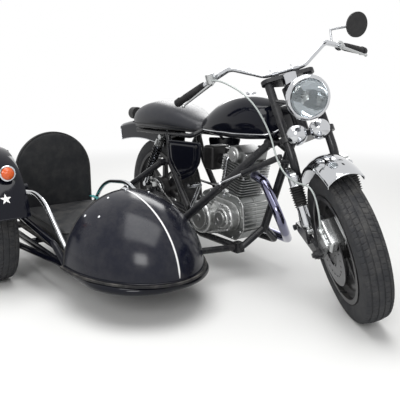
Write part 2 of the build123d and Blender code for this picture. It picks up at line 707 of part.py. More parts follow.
def side_lamp():
    """Round lamp that stands out of the guard's front."""
    angle = radians(48)
    root = Vector(GUARD_X + (GUARD_RADIUS - 8) * cos(angle), -TRACK + 14, GUARD_Z + (GUARD_RADIUS - 8) * sin(angle))
    tip = root + Vector(46, 0, 6)
    lamp = rod(tuple(root), tuple(tip), 66) + rod(tuple(tip), tuple(tip + Vector(10, 0, 1)), 56, 44)
    inside = across(GUARD_X, GUARD_Z, -TRACK - 60, -TRACK + 60, 2 * GUARD_RADIUS - 3)
    return lamp - inside - side_guard_solid


def eye(end, diameter, half):
    """Clamp eye along Y at a strut's end."""
    return across(end[0], end[2], end[1] - half, end[1] + half, diameter)


def front_strut():
    shape = rod(STRUT_TOP, STRUT_FOOT, STRUT_TUBE) + eye(STRUT_TOP, 44, 18) + eye(STRUT_FOOT, 44, 20)
    return shape - frame_solid - chair_frame_solid


def rear_strut():
    shape = rod(REAR_STRUT_TOP, REAR_STRUT_FOOT, STRUT_TUBE - 4)
    shape += eye(REAR_STRUT_TOP, 40, 18) + eye(REAR_STRUT_FOOT, 40, 20)
    return shape - frame_solid - chair_frame_solid


def lower_link(ends):
    """Level tube from the cradle to the chair's loop, with a clamp block round each."""
    near, far = ends
    start, end = (near, -CRADLE_HALF, CRADLE_Z), (far, CHAIR_RIGHT, CHAIR_Z)
    shape = rod(start, end, LINK_TUBE)
    shape += Pos(*start) * Box(46, FRAME_TUBE + 14, FRAME_TUBE + 14) + Pos(*end) * Box(46, CHAIR_TUBE + 14, CHAIR_TUBE + 14)
    return shape - frame_solid - chair_frame_solid - floor_solid - exhaust_solid


# Steering: drawn straight ahead and turned to its rest position at the end
FORK_LEAD = FORK_OFFSET / cos(radians(RAKE))
FORK_KINK_Z = 640
FORK_TOP_Z = 990


def fork_x(z):
    """The fork tubes' line ahead of the steering axis, down to their bend."""
    return steer_x(z) + FORK_LEAD


def fork_tubes():
    route = [
        (fork_x(FORK_TOP_Z), -FORK_HALF, FORK_TOP_Z),
        (fork_x(FORK_KINK_Z), -FORK_HALF, FORK_KINK_Z),
        (LINK_PIVOT[0] + 2, -FORK_HALF, LINK_PIVOT[1]),
    ]
    leg = tube(route, FORK_TUBE, 180)
    leg += across(*LINK_PIVOT, -FORK_HALF - 20, -FORK_HALF + 20, 44)
    leg -= across(*LINK_PIVOT, -FORK_HALF - 40, -FORK_HALF + 40, 14)
    leg += across(1226, 590, -FORK_HALF, -69 - SEAT_GAP, 20)
    return both_sides(leg)


def yoke(z, thick, end_radius):
    """Clamp plate across the stem and both fork tubes, square to the steering axis."""
    slope = (cos(radians(RAKE)), 0, sin(radians(RAKE)))
    place = Plane(origin=(steer_x(z), 0, z), x_dir=slope, z_dir=tuple(steer_dir))
    outline = make_hull([
        *Circle(34).edges(),
        *(Pos(FORK_OFFSET, FORK_HALF) * Circle(end_radius)).edges(),
        *(Pos(FORK_OFFSET, -FORK_HALF) * Circle(end_radius)).edges(),
    ])
    return extrude(place * outline, amount=thick / 2, both=True)


def fork_yokes():
    shape = yoke(YOKE_LOW_Z, YOKE_THICK, 32) + yoke(YOKE_HIGH_Z, YOKE_THICK - 6, 30)
    shape += rod((steer_x(YOKE_LOW_Z), 0, YOKE_LOW_Z), (steer_x(YOKE_HIGH_Z + 14), 0, YOKE_HIGH_Z + 14), 2 * STEM_RADIUS)
    return shape - fork_solid


def fork_link():
    """Leading arms outside the fork tubes on their pivot bolts, with the fixed front axle across them."""
    px, pz = LINK_PIVOT
    ax, az = WHEELBASE, FRONT_AXLE_Z
    sx, sz = LINK_SHOCK_EYE
    outline = [(px - 22, pz), (px, pz - 24), (ax, az - 24), (ax + 24, az), (ax, az + 26), (sx, sz + 20), (px, pz + 24)]
    arm = side_plate(outline, -LINK_Y - LINK_THICK / 2, -LINK_Y + LINK_THICK / 2)
    arm = fillet(arm.edges().filter_by(Axis.Y), 9)
    arm += across(px, pz, -LINK_Y - 22, -FORK_HALF + 19, 14)
    arm += across(px, pz, -LINK_Y - 22, -LINK_Y - LINK_THICK / 2, 26)
    arm += across(ax, az, -LINK_Y - 20, -LINK_Y - LINK_THICK / 2, 34)
    ear = -LINK_Y - 13 - SEAT_GAP
    arm += block((sx - 13, ear - 8, sz - 10), (sx + 13, -LINK_Y, sz + 12))
    arm += side_plate([(sx - 13, sz - 10), (sx + 13, sz - 10), (sx + 11, sz + 50), (sx - 11, sz + 50)], ear - 8, ear)
    return both_sides(arm) + across(ax, az, -LINK_Y - 28, LINK_Y + 28, AXLE_DIAMETER)


def fork_shock(side):
    """Suspension strut: chrome body below, a ribbed bellows, a slim rod above and its clamp block on the fork tube."""
    top = Vector(FORK_SHOCK_TOP[0], side * LINK_Y, FORK_SHOCK_TOP[1])
    foot = Vector(LINK_SHOCK_EYE[0], side * LINK_Y, LINK_SHOCK_EYE[1] + 36)
    corners = [(0, 20), (0.04, 20), (0.04, 40), (0.18, 40)]
    for rib in range(6):
        low = 0.2 + rib * 0.055
        corners += [(low, 36), (low, 50), (low + 0.032, 50), (low + 0.032, 36)]
    corners += [(0.53, 38), (0.9, 38), (0.9, 20), (1, 20)]
    shape = spindle(top, foot, corners) + across(foot.X, foot.Z, foot.Y - 13, foot.Y + 13, 30)
    inner, outer = sorted((side * (FORK_HALF + FORK_TUBE / 2 + SEAT_GAP), side * (LINK_Y + 10)))
    shape += block((1206, inner, 594), (1280, outer, 634))
    return shape + across(top.X, top.Z, top.Y - 12, top.Y + 12, 30)


FRONT_GUARD_RADIUS = 386


def front_guard():
    return shell_guard((WHEELBASE, 0, FRONT_AXLE_Z), FRONT_GUARD_RADIUS, 138, 30, 66, 150)


def front_caliper():
    """Brake caliper over the disc's upper front, on a bracket from the axle."""
    body = Pos(0, DISC_Y - 2, 124) * Box(124, 64, 66)
    body = fillet(body.edges(), 10)
    for x in (-30, 30):
        body += across(x, 124, DISC_Y - 33, DISC_Y - 39, 40)
    body -= across(0, 0, DISC_Y - 7.5, DISC_Y + 7.5, DISC_DIAMETER + 12)
    plate = make_hull([*Circle(22).edges(), *(Pos(-34, 112) * Circle(14)).edges(), *(Pos(34, 112) * Circle(14)).edges()])
    bracket = Pos(0, -LINK_Y + 17, 0) * Rot(90, 0, 0) * extrude(plate, amount=9)
    body = Rot(0, 36, 0) * (body + bracket) - across(0, 0, -150, 0, AXLE_DIAMETER)
    return Pos(WHEELBASE, 0, FRONT_AXLE_Z) * body


LAMP_Z = 918


def headlamp():
    """Round shell with its rim and lens, between two ears from the fork tubes."""
    shell = rod((1226, 0, LAMP_Z + 2), (1296, 0, LAMP_Z), 104, 162) + rod((1296, 0, LAMP_Z), (1322, 0, LAMP_Z), 172)
    shell += rod((1322, 0, LAMP_Z), (1332, 0, LAMP_Z), 160, 120)
    ear = rod((fork_x(LAMP_Z), -FORK_HALF, LAMP_Z), (1274, -60, LAMP_Z), 18)
    return shell + both_sides(ear) - fork_solid


def dome(tip, diameter):
    """Shallow round horn that faces forward."""
    half = Sphere(diameter / 2) & block((-diameter, -diameter, -diameter), (0, diameter, diameter))
    bowl = scale(half, by=(0.7, 1, 1))
    lens = scale(Sphere(diameter / 2) & block((0, -diameter, -diameter), (diameter, diameter, diameter)), by=(0.3, 1, 1))
    return Pos(tip[0] - diameter * 0.15, tip[1], tip[2]) * (bowl + lens)


def horns():
    """Twin horns on the lower yoke."""
    horn = dome((1216, -50, 762), 84) + rod((steer_x(YOKE_LOW_Z) + 30, -50, YOKE_LOW_Z + 8), (1196, -50, 760), 20)
    return both_sides(horn) - fork_solid - yokes_solid


BAR_TUBE = 24
BAR_POINTS = [(1030, 0, 1015), (1030, 89, 1015), (966, 222, 1082), (760, 466, 978)]
GRIP_START = 0.5


def bar_point(share):
    """Point on the left end run of the bar, from its bend (0) to its tip (1)."""
    bend, tip = Vector(*BAR_POINTS[2]), Vector(*BAR_POINTS[3])
    return bend + (tip - bend) * share


def handlebar():
    bar = both_sides(tube(BAR_POINTS, BAR_TUBE, [60, 60]))
    riser = rod((steer_x(YOKE_HIGH_Z + 9) + 10, -48, YOKE_HIGH_Z + 8), (1030, -48, 1015), 34) + across(1030, 1015, -62, -34, 44)
    return bar + both_sides(riser) - yokes_solid


def grips():
    """Sleeve on each end of the bar with a round indicator at its tip."""
    tip = bar_point(1)
    along = (tip - bar_point(0)).normalized()
    sleeve = rod(tuple(bar_point(GRIP_START)), tuple(tip), 35)
    sleeve += rod(tuple(tip), tuple(tip + along * 28), 42, 38)
    return both_sides(sleeve) - bar_solid


def levers():
    """Brake and clutch levers on their perches, and the brake's fluid tank at the right."""
    perch = bar_point(GRIP_START - 0.12)
    root = perch + Vector(34, 0, -8)
    shape = rod(tuple(perch + Vector(-6, 6, 3)), tuple(perch + Vector(8, -8, -3)), 40) + rod(tuple(perch), tuple(root), 22)
    end = bar_point(0.98) + Vector(52, 0, -22)
    shape += rod(tuple(root), tuple(end), 15, 9) + Pos(*end) * Sphere(8)
    shape = both_sides(shape)
    cup = perch + Vector(30, 0, 4)
    shape += Pos(cup.X, -cup.Y, cup.Z + 12) * Cylinder(22, 44)
    return shape - bar_solid


def mirror_left():
    base = bar_point(0.18)
    knee = base + Vector(-10, 8, 62)
    head = Vector(1016, 360, 1122)
    shape = rod(tuple(base), tuple(knee), 10) + Pos(*knee) * Sphere(5) + rod(tuple(knee), tuple(head), 10)
    face = Plane(origin=tuple(head), z_dir=(-0.94, -0.25, 0.1))
    shape += face * Cylinder(54, 10)
    return shape - bar_solid


def speedometer():
    place = Plane(origin=(1118, 0, 954), z_dir=(-0.42, 0, 0.9))
    shape = place * (Pos(0, 0, 30) * Cylinder(32, 44))
    return shape + rod((steer_x(YOKE_HIGH_Z) + 24, 0, YOKE_HIGH_Z), (1122, 0, 976), 22) - yokes_solid


LINE_POINTS = [
    (934, -314, 1048),
    (1010, -290, 1056),
    (1120, -190, 960),
    (1160, -150, 800),
    (1232, -150, 640),
    (1350, -146, 580),
    (1470, -128, 500),
    (1506, -108, 448),
]


def brake_line():
    """Hose from the brake's fluid tank down past the fork to the caliper."""
    return tube(LINE_POINTS, 8, [40, 60, 60, 60, 50, 20]) - levers_solid - caliper_solid


# Steering damper, from a pin beside the right fork tube to a lug on the front strut. Its pin is slid along the
# steering axis until the damper lies square to that axis, so that it stays level as the fork turns.
DAMPER_STRUT_SHARE = 0.37
DAMPER_PIN_XY = (1166, -134)
DAMPER_ROD = 10
DAMPER_BODY = 28
DAMPER_BODY_LENGTH = 200
DAMPER_ROD_LENGTH = 296
axis_vector = Vector(*steer_axis.direction)
strut_run = Vector(*STRUT_FOOT) - Vector(*STRUT_TOP)
strut_point = Vector(*STRUT_TOP) + strut_run * DAMPER_STRUT_SHARE
damper_rod_eye = strut_point + Vector(0, -56, -14)


def steered_point(point):
    return Vector(steered(Vertex(*point)).center())


damper_pin = Vector(*DAMPER_PIN_XY, 690)
damper_pin += axis_vector * (damper_rod_eye - steered_point(damper_pin)).dot(axis_vector)
damper_eye = steered_point(damper_pin)
damper_way = (damper_rod_eye - damper_eye).normalized()


def damper_bracket():
    """Lug and pin on the right fork tube, drawn straight ahead."""
    lug = rod((fork_x(damper_pin.Z - 20), -FORK_HALF, damper_pin.Z - 20), tuple(damper_pin - axis_vector * 20), 16)
    return lug + rod(tuple(damper_pin - axis_vector * 22), tuple(damper_pin + axis_vector * 13), DAMPER_ROD)


def damper_lug():
    """Lug on the front strut, just below the rod's eye, on an arm that runs level with it, clear of the rod."""
    top = damper_rod_eye - axis_vector * 6.6
    foot = top - axis_vector * 10
    root = strut_point + strut_run * ((foot - strut_point).dot(axis_vector) / strut_run.dot(axis_vector))
    return rod(tuple(root), tuple(foot), 12) + rod(tuple(top), tuple(foot), 26)


def damper_body():
    """Cylinder with an eye at its closed end, its bore open towards the strut."""
    shape = rod(tuple(damper_eye + damper_way * 8), tuple(damper_eye + damper_way * DAMPER_BODY_LENGTH), DAMPER_BODY)
    shape += rod(tuple(damper_eye - axis_vector * 9), tuple(damper_eye + axis_vector * 9), 26)
    shape -= rod(tuple(damper_eye - axis_vector * 10), tuple(damper_eye + axis_vector * 10), DAMPER_ROD + 2 * RUNNING_GAP)
    bore = rod(tuple(damper_eye + damper_way * 20), tuple(damper_eye + damper_way * 260), DAMPER_ROD + 2 * RUNNING_GAP)
    return shape - bore


def damper_rod():
    shape = rod(tuple(damper_rod_eye - damper_way * DAMPER_ROD_LENGTH), tuple(damper_rod_eye), DAMPER_ROD)
    return shape + rod(tuple(damper_rod_eye - axis_vector * 6), tuple(damper_rod_eye + axis_vector * 6), 26)


frame_solid = frame()
rear_guard_solid = rear_guard()
swingarm_solid = swingarm()
exhaust_solid = exhaust_header()
crankcase_solid = crankcase()
barrel_solid = barrel()
head_solid = cylinder_head()
floor_solid = chair_floor()
chair_frame_solid = chair_frame()
side_guard_solid = side_guard()
fork_solid = fork_tubes() + damper_bracket()
yokes_solid = fork_yokes()
link_solid = fork_link()
caliper_solid = front_caliper()
bar_solid = handlebar()
levers_solid = levers()

# Node, solid, body
table = [
    ("front_tyre", Pos(*front_axle) * tyre(**FRONT_TYRE), "front_wheel"),
    ("front_wheel", front_wheel(), "front_wheel"),
    ("front_disc", front_disc(), "front_wheel"),
    ("fork_tubes", fork_solid, "steering"),
    ("fork_yokes", yokes_solid, "steering"),
    ("fork_link", link_solid, "steering"),
    ("fork_shock_right", fork_shock(-1), "steering"),
    ("fork_shock_left", fork_shock(1), "steering"),
    ("front_guard", front_guard(), "steering"),
    ("front_caliper", caliper_solid, "steering"),
    ("headlamp", headlamp(), "steering"),
    ("horns", horns(), "steering"),
    ("handlebar", bar_solid, "steering"),
    ("grips", grips(), "steering"),
    ("levers", levers_solid, "steering"),
    ("mirror_left", mirror_left(), "steering"),
    ("speedometer", speedometer(), "steering"),
    ("brake_line", brake_line(), "steering"),
    ("damper_body", damper_body(), "damper_body"),
    ("damper_rod", damper_rod(), "damper_rod"),
    ("rear_tyre", Pos(*rear_axle) * tyre(**REAR_TYRE), "rear_wheel"),
    ("rear_wheel", rear_wheel(), "rear_wheel"),
    ("rear_sprocket", rear_sprocket(), "rear_wheel"),
    ("side_tyre", Pos(*side_axle) * tyre(**SIDE_TYRE), "side_wheel"),
    ("side_wheel", side_wheel(), "side_wheel"),
    ("frame", frame_solid, "chassis"),
    ("swingarm", swingarm_solid, "chassis"),
    ("rear_shock_right", rear_shock(-1), "chassis"),
    ("rear_shock_left", rear_shock(1), "chassis"),
    ("rear_brake_panel", rear_brake_panel(), "chassis"),
    ("rear_guard", rear_guard_solid, "chassis"),
    ("tail_lamp", tail_lamp() - rear_guard_solid, "chassis"),
    ("tank", tank(), "chassis"),
    ("tank_cap", tank_cap(), "chassis"),
    ("seat", seat(), "chassis"),
    ("crankcase", crankcase_solid, "chassis"),
    ("barrel", barrel_solid, "chassis"),
    ("cylinder_head", head_solid, "chassis"),
    ("carburettor", carburettor(), "chassis"),
    ("exhaust_header", exhaust_solid, "chassis"),
    ("silencer", silencer(), "chassis"),
    ("side_cover_right", side_cover(-1), "chassis"),
    ("side_cover_left", side_cover(1), "chassis"),
    ("chain", chain(), "chassis"),
    ("footrests", footrests(), "chassis"),
    ("kickstarter", kickstarter(), "chassis"),
    ("nose", nose(), "chassis"),
    ("chair_floor", floor_solid, "chassis"),
    ("cushion", cushion(), "chassis"),
    ("backrest", backrest(), "chassis"),
    ("chair_frame", chair_frame_solid, "chassis"),
    ("grab_rail_right", grab_rail(1), "chassis"),
    ("grab_rail_left", grab_rail(-1), "chassis"),
    ("side_guard", side_guard_solid, "chassis"),
    ("side_lamp", side_lamp(), "chassis"),
    ("front_strut", front_strut() + damper_lug(), "chassis"),
    ("rear_strut", rear_strut(), "chassis"),
    ("front_link", lower_link(LOW_LINK_FRONT), "chassis"),
    ("rear_link", lower_link(LOW_LINK_REAR), "chassis"),
]
nodes = {name: steered(shape) if body in ("steering", "front_wheel") else shape for name, shape, body in table}

# The origin goes on the ground under the middle of the whole outfit
boxes = [shape.bounding_box() for shape in nodes.values()]
low = [min(tuple(box.min)[k] for box in boxes) for k in range(3)]
high = [max(tuple(box.max)[k] for box in boxes) for k in range(3)]
to_origin = Pos(-(low[0] + high[0]) / 2, -(low[1] + high[1]) / 2, -low[2])
nodes = {name: to_origin * shape for name, shape in nodes.items()}

os.makedirs("parts", exist_ok=True)
for name, shape in nodes.items():
    export_step(shape, f"parts/{name}.step")
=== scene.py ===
import json
import math

import bmesh
import bpy
import numpy as np
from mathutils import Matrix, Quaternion, Vector

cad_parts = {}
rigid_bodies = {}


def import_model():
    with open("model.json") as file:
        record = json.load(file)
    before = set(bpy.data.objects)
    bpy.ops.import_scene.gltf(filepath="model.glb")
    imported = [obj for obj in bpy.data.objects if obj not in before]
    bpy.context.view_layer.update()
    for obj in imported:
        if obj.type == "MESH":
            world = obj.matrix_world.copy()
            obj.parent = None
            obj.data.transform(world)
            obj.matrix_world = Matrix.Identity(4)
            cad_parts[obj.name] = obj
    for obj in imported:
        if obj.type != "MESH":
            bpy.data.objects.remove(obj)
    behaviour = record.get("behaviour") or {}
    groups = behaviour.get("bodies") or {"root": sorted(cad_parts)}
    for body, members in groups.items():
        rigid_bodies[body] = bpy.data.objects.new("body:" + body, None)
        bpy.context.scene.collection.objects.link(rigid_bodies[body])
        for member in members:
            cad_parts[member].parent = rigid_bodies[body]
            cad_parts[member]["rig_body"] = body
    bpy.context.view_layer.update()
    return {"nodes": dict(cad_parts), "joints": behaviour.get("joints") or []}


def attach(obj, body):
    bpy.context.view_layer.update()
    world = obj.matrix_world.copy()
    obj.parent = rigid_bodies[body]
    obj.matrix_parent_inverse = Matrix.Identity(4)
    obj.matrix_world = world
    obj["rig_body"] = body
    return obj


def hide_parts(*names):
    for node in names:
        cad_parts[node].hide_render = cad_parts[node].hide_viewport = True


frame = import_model()

bl_info = {
    "name": "Sidecar outfit surfaces",
    "version": (1, 0, 0),
    "blender": (4, 5, 0),
    "location": "View3D > Sidebar > Outfit",
    "description": "Builds the painted, plated, cast and padded surfaces of a roadster with a sports chair",
    "category": "Object",
}

# Drawing units: millimetres, X forward from the rear axle, Y to the rider's left, Z up from the ground.
# Whatever turns with the fork is drawn with the fork straight ahead.
MM = 0.001
JOINTS = {joint["name"]: joint for joint in frame["joints"]}
DRAWING_ORIGIN = np.array([*JOINTS["rear_wheel"]["pos_m"][:2], 0.0])
STEER_POINT = np.array(JOINTS["steering"]["pos_m"])
STEER_AXIS = np.array(JOINTS["steering"]["axis"])
STEER_REST = -34
FORK_BODIES = ("steering", "front_wheel")

# Wheels
WHEELBASE = 1440
TRACK = 1088
SIDE_LEAD = 84
TYRES = {
    "front": dict(diameter=628, width=114, bead=430, at=(WHEELBASE, 0), pitches=84, body="front_wheel"),
    "rear": dict(diameter=640, width=122, bead=458, at=(0, 0), pitches=86, body="rear_wheel"),
    "side": dict(diameter=556, width=132, bead=356, at=(SIDE_LEAD, -TRACK), pitches=74, body="side_wheel"),
}

# Fork and what it carries
LINK_Y = 118
SHOCK_TOP = np.array([1276, 0, 612])
SHOCK_FOOT = np.array([1368, 0, 388])
LAMP_Z = 918

# Front brake hose, in metres
LINE_DIAMETER = 0.008

# Engine: the crankshaft, and the right-hand covers with their outer faces
CRANK = np.array([690.0, 0.0, 292.0])
CYLINDER_LEAN = 14
CLUTCH_COVER = (610, -191.5, 290)
TIMING_COVER = (752, -163.5, 306)
CASE_FACE_Y = -145.0
RIGHT = (0, -1, 0)

# Chair
BODY_Y = -640
FLOOR_TOP = 196
NOSE_BACK_X = 665
NOSE_LENGTH = 440
NOSE_RADIUS = 300
NOSE_WALL = 5
BACKREST_X = -180
BACKREST_HALF = 222
BACKREST_SPRING = 476
RAIL_OUT = 250
RAIL_BACK_X = -201
RAIL_FOOT_X = 604

# Mudguards
SIDE_GUARD_CENTRE = (SIDE_LEAD + 36, -TRACK, 300)
SIDE_GUARD_RADIUS = 373.5
REAR_GUARD_X = -160
REAR_GUARD_TOP = 742
REAR_GUARD_RADIUS = 1300

# Metres within which points are one, in a new mesh and in a solid's copy
WELD = 2e-6
COPY_WELD = 4e-6

# Degrees up to which a copy's faces merge, and from which its edges are sharp or get a bevel
COPY_FLAT = 1.0
COPY_SHARP = 32
COPY_EASED = 40


# Places

def unit(vector):
    """The same direction with a length of one."""
    vector = np.asarray(vector, float)
    return vector / np.linalg.norm(vector)


def about_axis(points, origin, axis, degrees):
    """Turns points about a line: the part along the axis stays, the rest turns in its plane."""
    angle = math.radians(degrees)
    arm = points - origin
    along = (arm @ axis)[..., None] * axis
    return origin + along + (arm - along) * math.cos(angle) + np.cross(axis, arm) * math.sin(angle)


def placed(points, body):
    """Drawing millimetres to row metres, with the fork's pieces turned from straight ahead to their rest."""
    row = np.asarray(points, float) * MM + DRAWING_ORIGIN
    if body in FORK_BODIES:
        row = about_axis(row, STEER_POINT, STEER_AXIS, STEER_REST)
    return row


def drawn(row, body):
    """Row metres back to drawing millimetres, with the fork's pieces turned back to straight ahead."""
    if body in FORK_BODIES:
        row = about_axis(np.asarray(row, float), STEER_POINT, STEER_AXIS, -STEER_REST)
    return (row - DRAWING_ORIGIN) / MM


AXLE_Z = {
    "front": drawn(JOINTS["front_wheel"]["pos_m"], "front_wheel")[2],
    "rear": TYRES["rear"]["diameter"] / 2,
    "side": TYRES["side"]["diameter"] / 2,
}


def leaned(points):
    """Upright engine drawing to the leaned cylinder: turned about the crankshaft and set on it."""
    lean = math.radians(CYLINDER_LEAN)
    x, y, z = np.moveaxis(np.asarray(points, float), -1, 0)
    ahead = x * math.cos(lean) + z * math.sin(lean)
    up = z * math.cos(lean) - x * math.sin(lean)
    return np.stack([ahead, y, up], -1) + CRANK


def share_along(points, start, end):
    """How far along the line from start to end each point lies, as a share of the line."""
    run = np.subtract(end, start)
    return (points - np.asarray(start, float)) @ run / (run @ run)


# Lines

def bent_path(corners, bend, steps=8):
    """Straight runs joined by arcs: each arc's point is the middle plus two spokes, mixed by the sines of its
    share of the turn."""
    corners = np.asarray(corners, float)
    path = [corners[:1]]
    radii = np.broadcast_to(bend, len(corners) - 2)
    for before, corner, after, radius in zip(corners, corners[1:], corners[2:], radii):
        come, go = unit(corner - before), unit(after - corner)
        half = math.acos(np.clip(come @ go, -1, 1)) / 2
        reach = radius * math.tan(half)
        middle = corner + unit(go - come) * radius / math.cos(half)
        share = np.linspace(0, 2 * half, steps + 1)[:, None]
        first, last = corner - come * reach - middle, corner + go * reach - middle
        path.append(middle + (np.sin(2 * half - share) * first + np.sin(share) * last) / math.sin(2 * half))
    return np.concatenate([*path, corners[-1:]])


def curved_path(points, steps=10):
    """Smooth line through every point: on each span a cubic whose slopes are half the chord between the
    neighbours."""
    points = np.asarray(points, float)
    padded = np.concatenate([2 * points[:1] - points[1:2], points, 2 * points[-1:] - points[-2:-1]])
    p0, p1, p2, p3 = (padded[k:len(padded) - 3 + k, None] for k in range(4))
    t = np.linspace(0, 1, steps, endpoint=False)[None, :, None]
    square, cube = 2 * p0 - 5 * p1 + 4 * p2 - p3, 3 * p1 - p0 - 3 * p2 + p3
    line = 0.5 * (2 * p1 + (p2 - p0) * t + square * t**2 + cube * t**3)
    return np.concatenate([line.reshape(-1, points.shape[1]), points[-1:]])


def arc_through(a, b, c, steps):
    """Circle arc from a through b to c in a plane, by the circle's centre and the two swept angles."""
    a, b, c = (np.asarray(p, float) for p in (a, b, c))
    d = 2 * (a[0] * (b[1] - c[1]) + b[0] * (c[1] - a[1]) + c[0] * (a[1] - b[1]))
    if abs(d) < 1e-6:
        return a + (c - a) * np.linspace(0, 1, steps)[:, None]
    aa, bb, cc = a @ a, b @ b, c @ c
    centre = np.array([
        aa * (b[1] - c[1]) + bb * (c[1] - a[1]) + cc * (a[1] - b[1]),
        aa * (c[0] - b[0]) + bb * (a[0] - c[0]) + cc * (b[0] - a[0]),
    ]) / d
    angles = np.unwrap([math.atan2(*(p - centre)[::-1]) for p in (a, b, c)])
    turn = np.linspace(angles[0], angles[2], steps)
    return centre + np.linalg.norm(a - centre) * np.stack([np.cos(turn), np.sin(turn)], 1)


def evened(loop, count):
    """The same open or closed line with points at equal distances along it."""
    step = np.r_[0, np.cumsum(np.linalg.norm(np.diff(loop, axis=0), axis=1))]
    want = np.linspace(0, step[-1], count)
    return np.stack([np.interp(want, step, loop[:, k]) for k in range(loop.shape[1])], 1)


def softened(loop, passes):
    """Rounds a closed line's corners: in each pass a point goes half way to the mean of its neighbours."""
    ring = loop[:-1]
    for _ in range(passes):
        ring = (np.roll(ring, 1, 0) + 2 * ring + np.roll(ring, -1, 0)) / 4
    return np.concatenate([ring, ring[:1]])


def softened_open(line, passes):
    """Evens out an open line in the same way, with its two ends left where they are."""
    for _ in range(passes):
        line = np.concatenate([line[:1], (line[:-2] + 2 * line[1:-1] + line[2:]) / 4, line[-1:]])
    return line


def circle(centre, radius, count, share=1.0):
    """Circle in a plane, or a share of one, as count points from the first axis on. The last point of a whole
    one is the first."""
    turn = np.linspace(0, share * 2 * np.pi, count)
    return np.stack([centre[0] + radius * np.cos(turn), centre[1] + radius * np.sin(turn)], 1)


def shrunk(outline, share):
    """A closed line drawn toward the mean of its points."""
    middle = outline[:-1].mean(0)
    return middle + (outline - middle) * share


def upright(outline, y):
    """(x, z) pairs as points of the upright plane at y."""
    return np.stack([outline[:, 0], np.full(len(outline), y), outline[:, 1]], 1)


# Surfaces

def lathe(profile, start, axis, around=48):
    """Turns (distance along the axis, radius) pairs round a line: each point is start + along * axis +
    radius * spoke."""
    axis = unit(axis)
    side = unit(np.cross(axis, (0.31, 0.52, 0.8)))  # any direction that no axis here has
    up = np.cross(axis, side)
    turn = np.linspace(0, 2 * math.pi, around + 1)[:, None]
    spoke = np.cos(turn) * side + np.sin(turn) * up
    along, radius = np.asarray(profile, float).T
    return np.asarray(start, float) + along[None, :, None] * axis + radius[None, :, None] * spoke[:, None, :]


def pipe(path, radius, around=20):
    """A circle carried along a path, its plane square to the path; the ends close on their middle points."""
    path = np.asarray(path, float)
    slope = np.gradient(path, axis=0)
    slope /= np.linalg.norm(slope, axis=1)[:, None]
    level = np.linalg.svd(slope, full_matrices=True)[2][-1]
    side = np.cross(slope, level)
    side /= np.linalg.norm(side, axis=1)[:, None]
    up = np.cross(side, slope)
    turn = np.linspace(0, 2 * math.pi, around + 1)[None, :, None]
    rows = path[:, None] + radius * (np.cos(turn) * side[:, None] + np.sin(turn) * up[:, None])
    ends = [np.repeat(path[k][None, None], around + 1, axis=1) for k in (0, -1)]
    return np.concatenate([ends[0], rows, ends[1]])


def swept(profile, path, side, up):
    """A closed profile of (side, up) pairs carried along a path, with both ends closed on their middles."""
    rows = path[:, None] + profile[None, :, :1] * np.asarray(side) + profile[None, :, 1:] * np.asarray(up)
    ends = [np.repeat(rows[k].mean(0)[None, None], len(profile), axis=1) for k in (0, -1)]
    return np.concatenate([ends[0], rows, ends[1]])


def bowed_loop(base_half, half, shoulder_half, low, middle, shoulder, top, count=96, passes=14):
    """Closed section: flat base, one bowed wall at each side and a crowned top, corners rounded."""
    right = arc_through((base_half, low), (half, middle), (shoulder_half, shoulder), 24)
    crown = arc_through((shoulder_half, shoulder), (0, top), (-shoulder_half, shoulder), 30)
    left = right[::-1] * (-1, 1)
    base = np.linspace((-base_half, low), (base_half, low), 20)
    loop = np.concatenate([base[10:-1], right, crown[1:-1], left, base[1:11]])
    return softened(evened(loop, count + 1), passes)


def rounded_box(low, high, radius, steps=10):
    """Box with rounded edges: a cube's grid pulled in to an inner box and pushed out by the radius along the
    direction left over."""
    low, high = np.asarray(low, float), np.asarray(high, float)
    middle, half = (low + high) / 2, (high - low) / 2
    inner = half - radius
    share = np.linspace(-1, 1, 2 * steps + 1)
    reach = np.sign(share) * (1 - (1 - np.abs(share))**2)
    u, v = np.meshgrid(reach, reach, indexing="ij")
    sheets = []
    for axis in range(3):
        for sign in (-1, 1):
            cube = np.empty((*u.shape, 3))
            cube[..., axis] = sign
            cube[..., (axis + 1) % 3] = u if sign > 0 else v
            cube[..., (axis + 2) % 3] = v if sign > 0 else u
            point = cube * half
            core = np.clip(point, -inner, inner)
            away = point - core
            away /= np.maximum(np.linalg.norm(away, axis=-1), 1e-9)[..., None]
            sheets.append(middle + (core + away * radius))
    return sheets


def pad(outline, low, high, crown, edge):
    """Crowned closed pad. Outline is a closed line in the plane of the first two axes. From its middle out,
    each ring keeps the outline's shape, while the two skins draw together at the rim as a rounded edge
    does."""
    middle = outline[:-1].mean(0)
    share = np.sin(np.linspace(0, np.pi / 2, 26)) ** 0.9
    lift = np.clip(1 - ((share - (1 - edge)) / edge).clip(0, 1)**2, 0, 1)**0.5
    dome = crown * (1 - share**2.4)
    half = (high - low) / 2
    ring = middle + share[:, None, None] * (outline - middle)
    upper = (low + high) / 2 + half * lift + dome
    lower = (low + high) / 2 - half * lift
    top, under = (np.concatenate([ring, np.broadcast_to(skin[:, None, None], (*ring.shape[:2], 1))], -1)
                  for skin in (upper, lower))
    return np.concatenate([top, under[::-1]])


def screw(point, axis, size=6):
    """Round screw head with a chamfered rim and a driver's recess."""
    profile = np.array([(0, 0), (0, 1), (0.5, 1), (0.7, 0.8), (0.7, 0.45), (0.35, 0.4), (0.35, 0)]) * size
    return lathe(profile, point, axis, 12)


def screws_round(centre, axis, ring, count, size=5, first=0.0):
    """Screw heads at equal angles on a circle square to an axis."""
    axis = unit(axis)
    side = unit(np.cross(axis, (0.0, 0.0, 1.0)))
    up = np.cross(side, axis)
    angles = first + 2 * math.pi * np.arange(count) / count
    spokes = [math.cos(a) * side + math.sin(a) * up for a in angles]
    return [screw(np.asarray(centre, float) + ring * spoke, axis, size) for spoke in spokes]


# Finishes

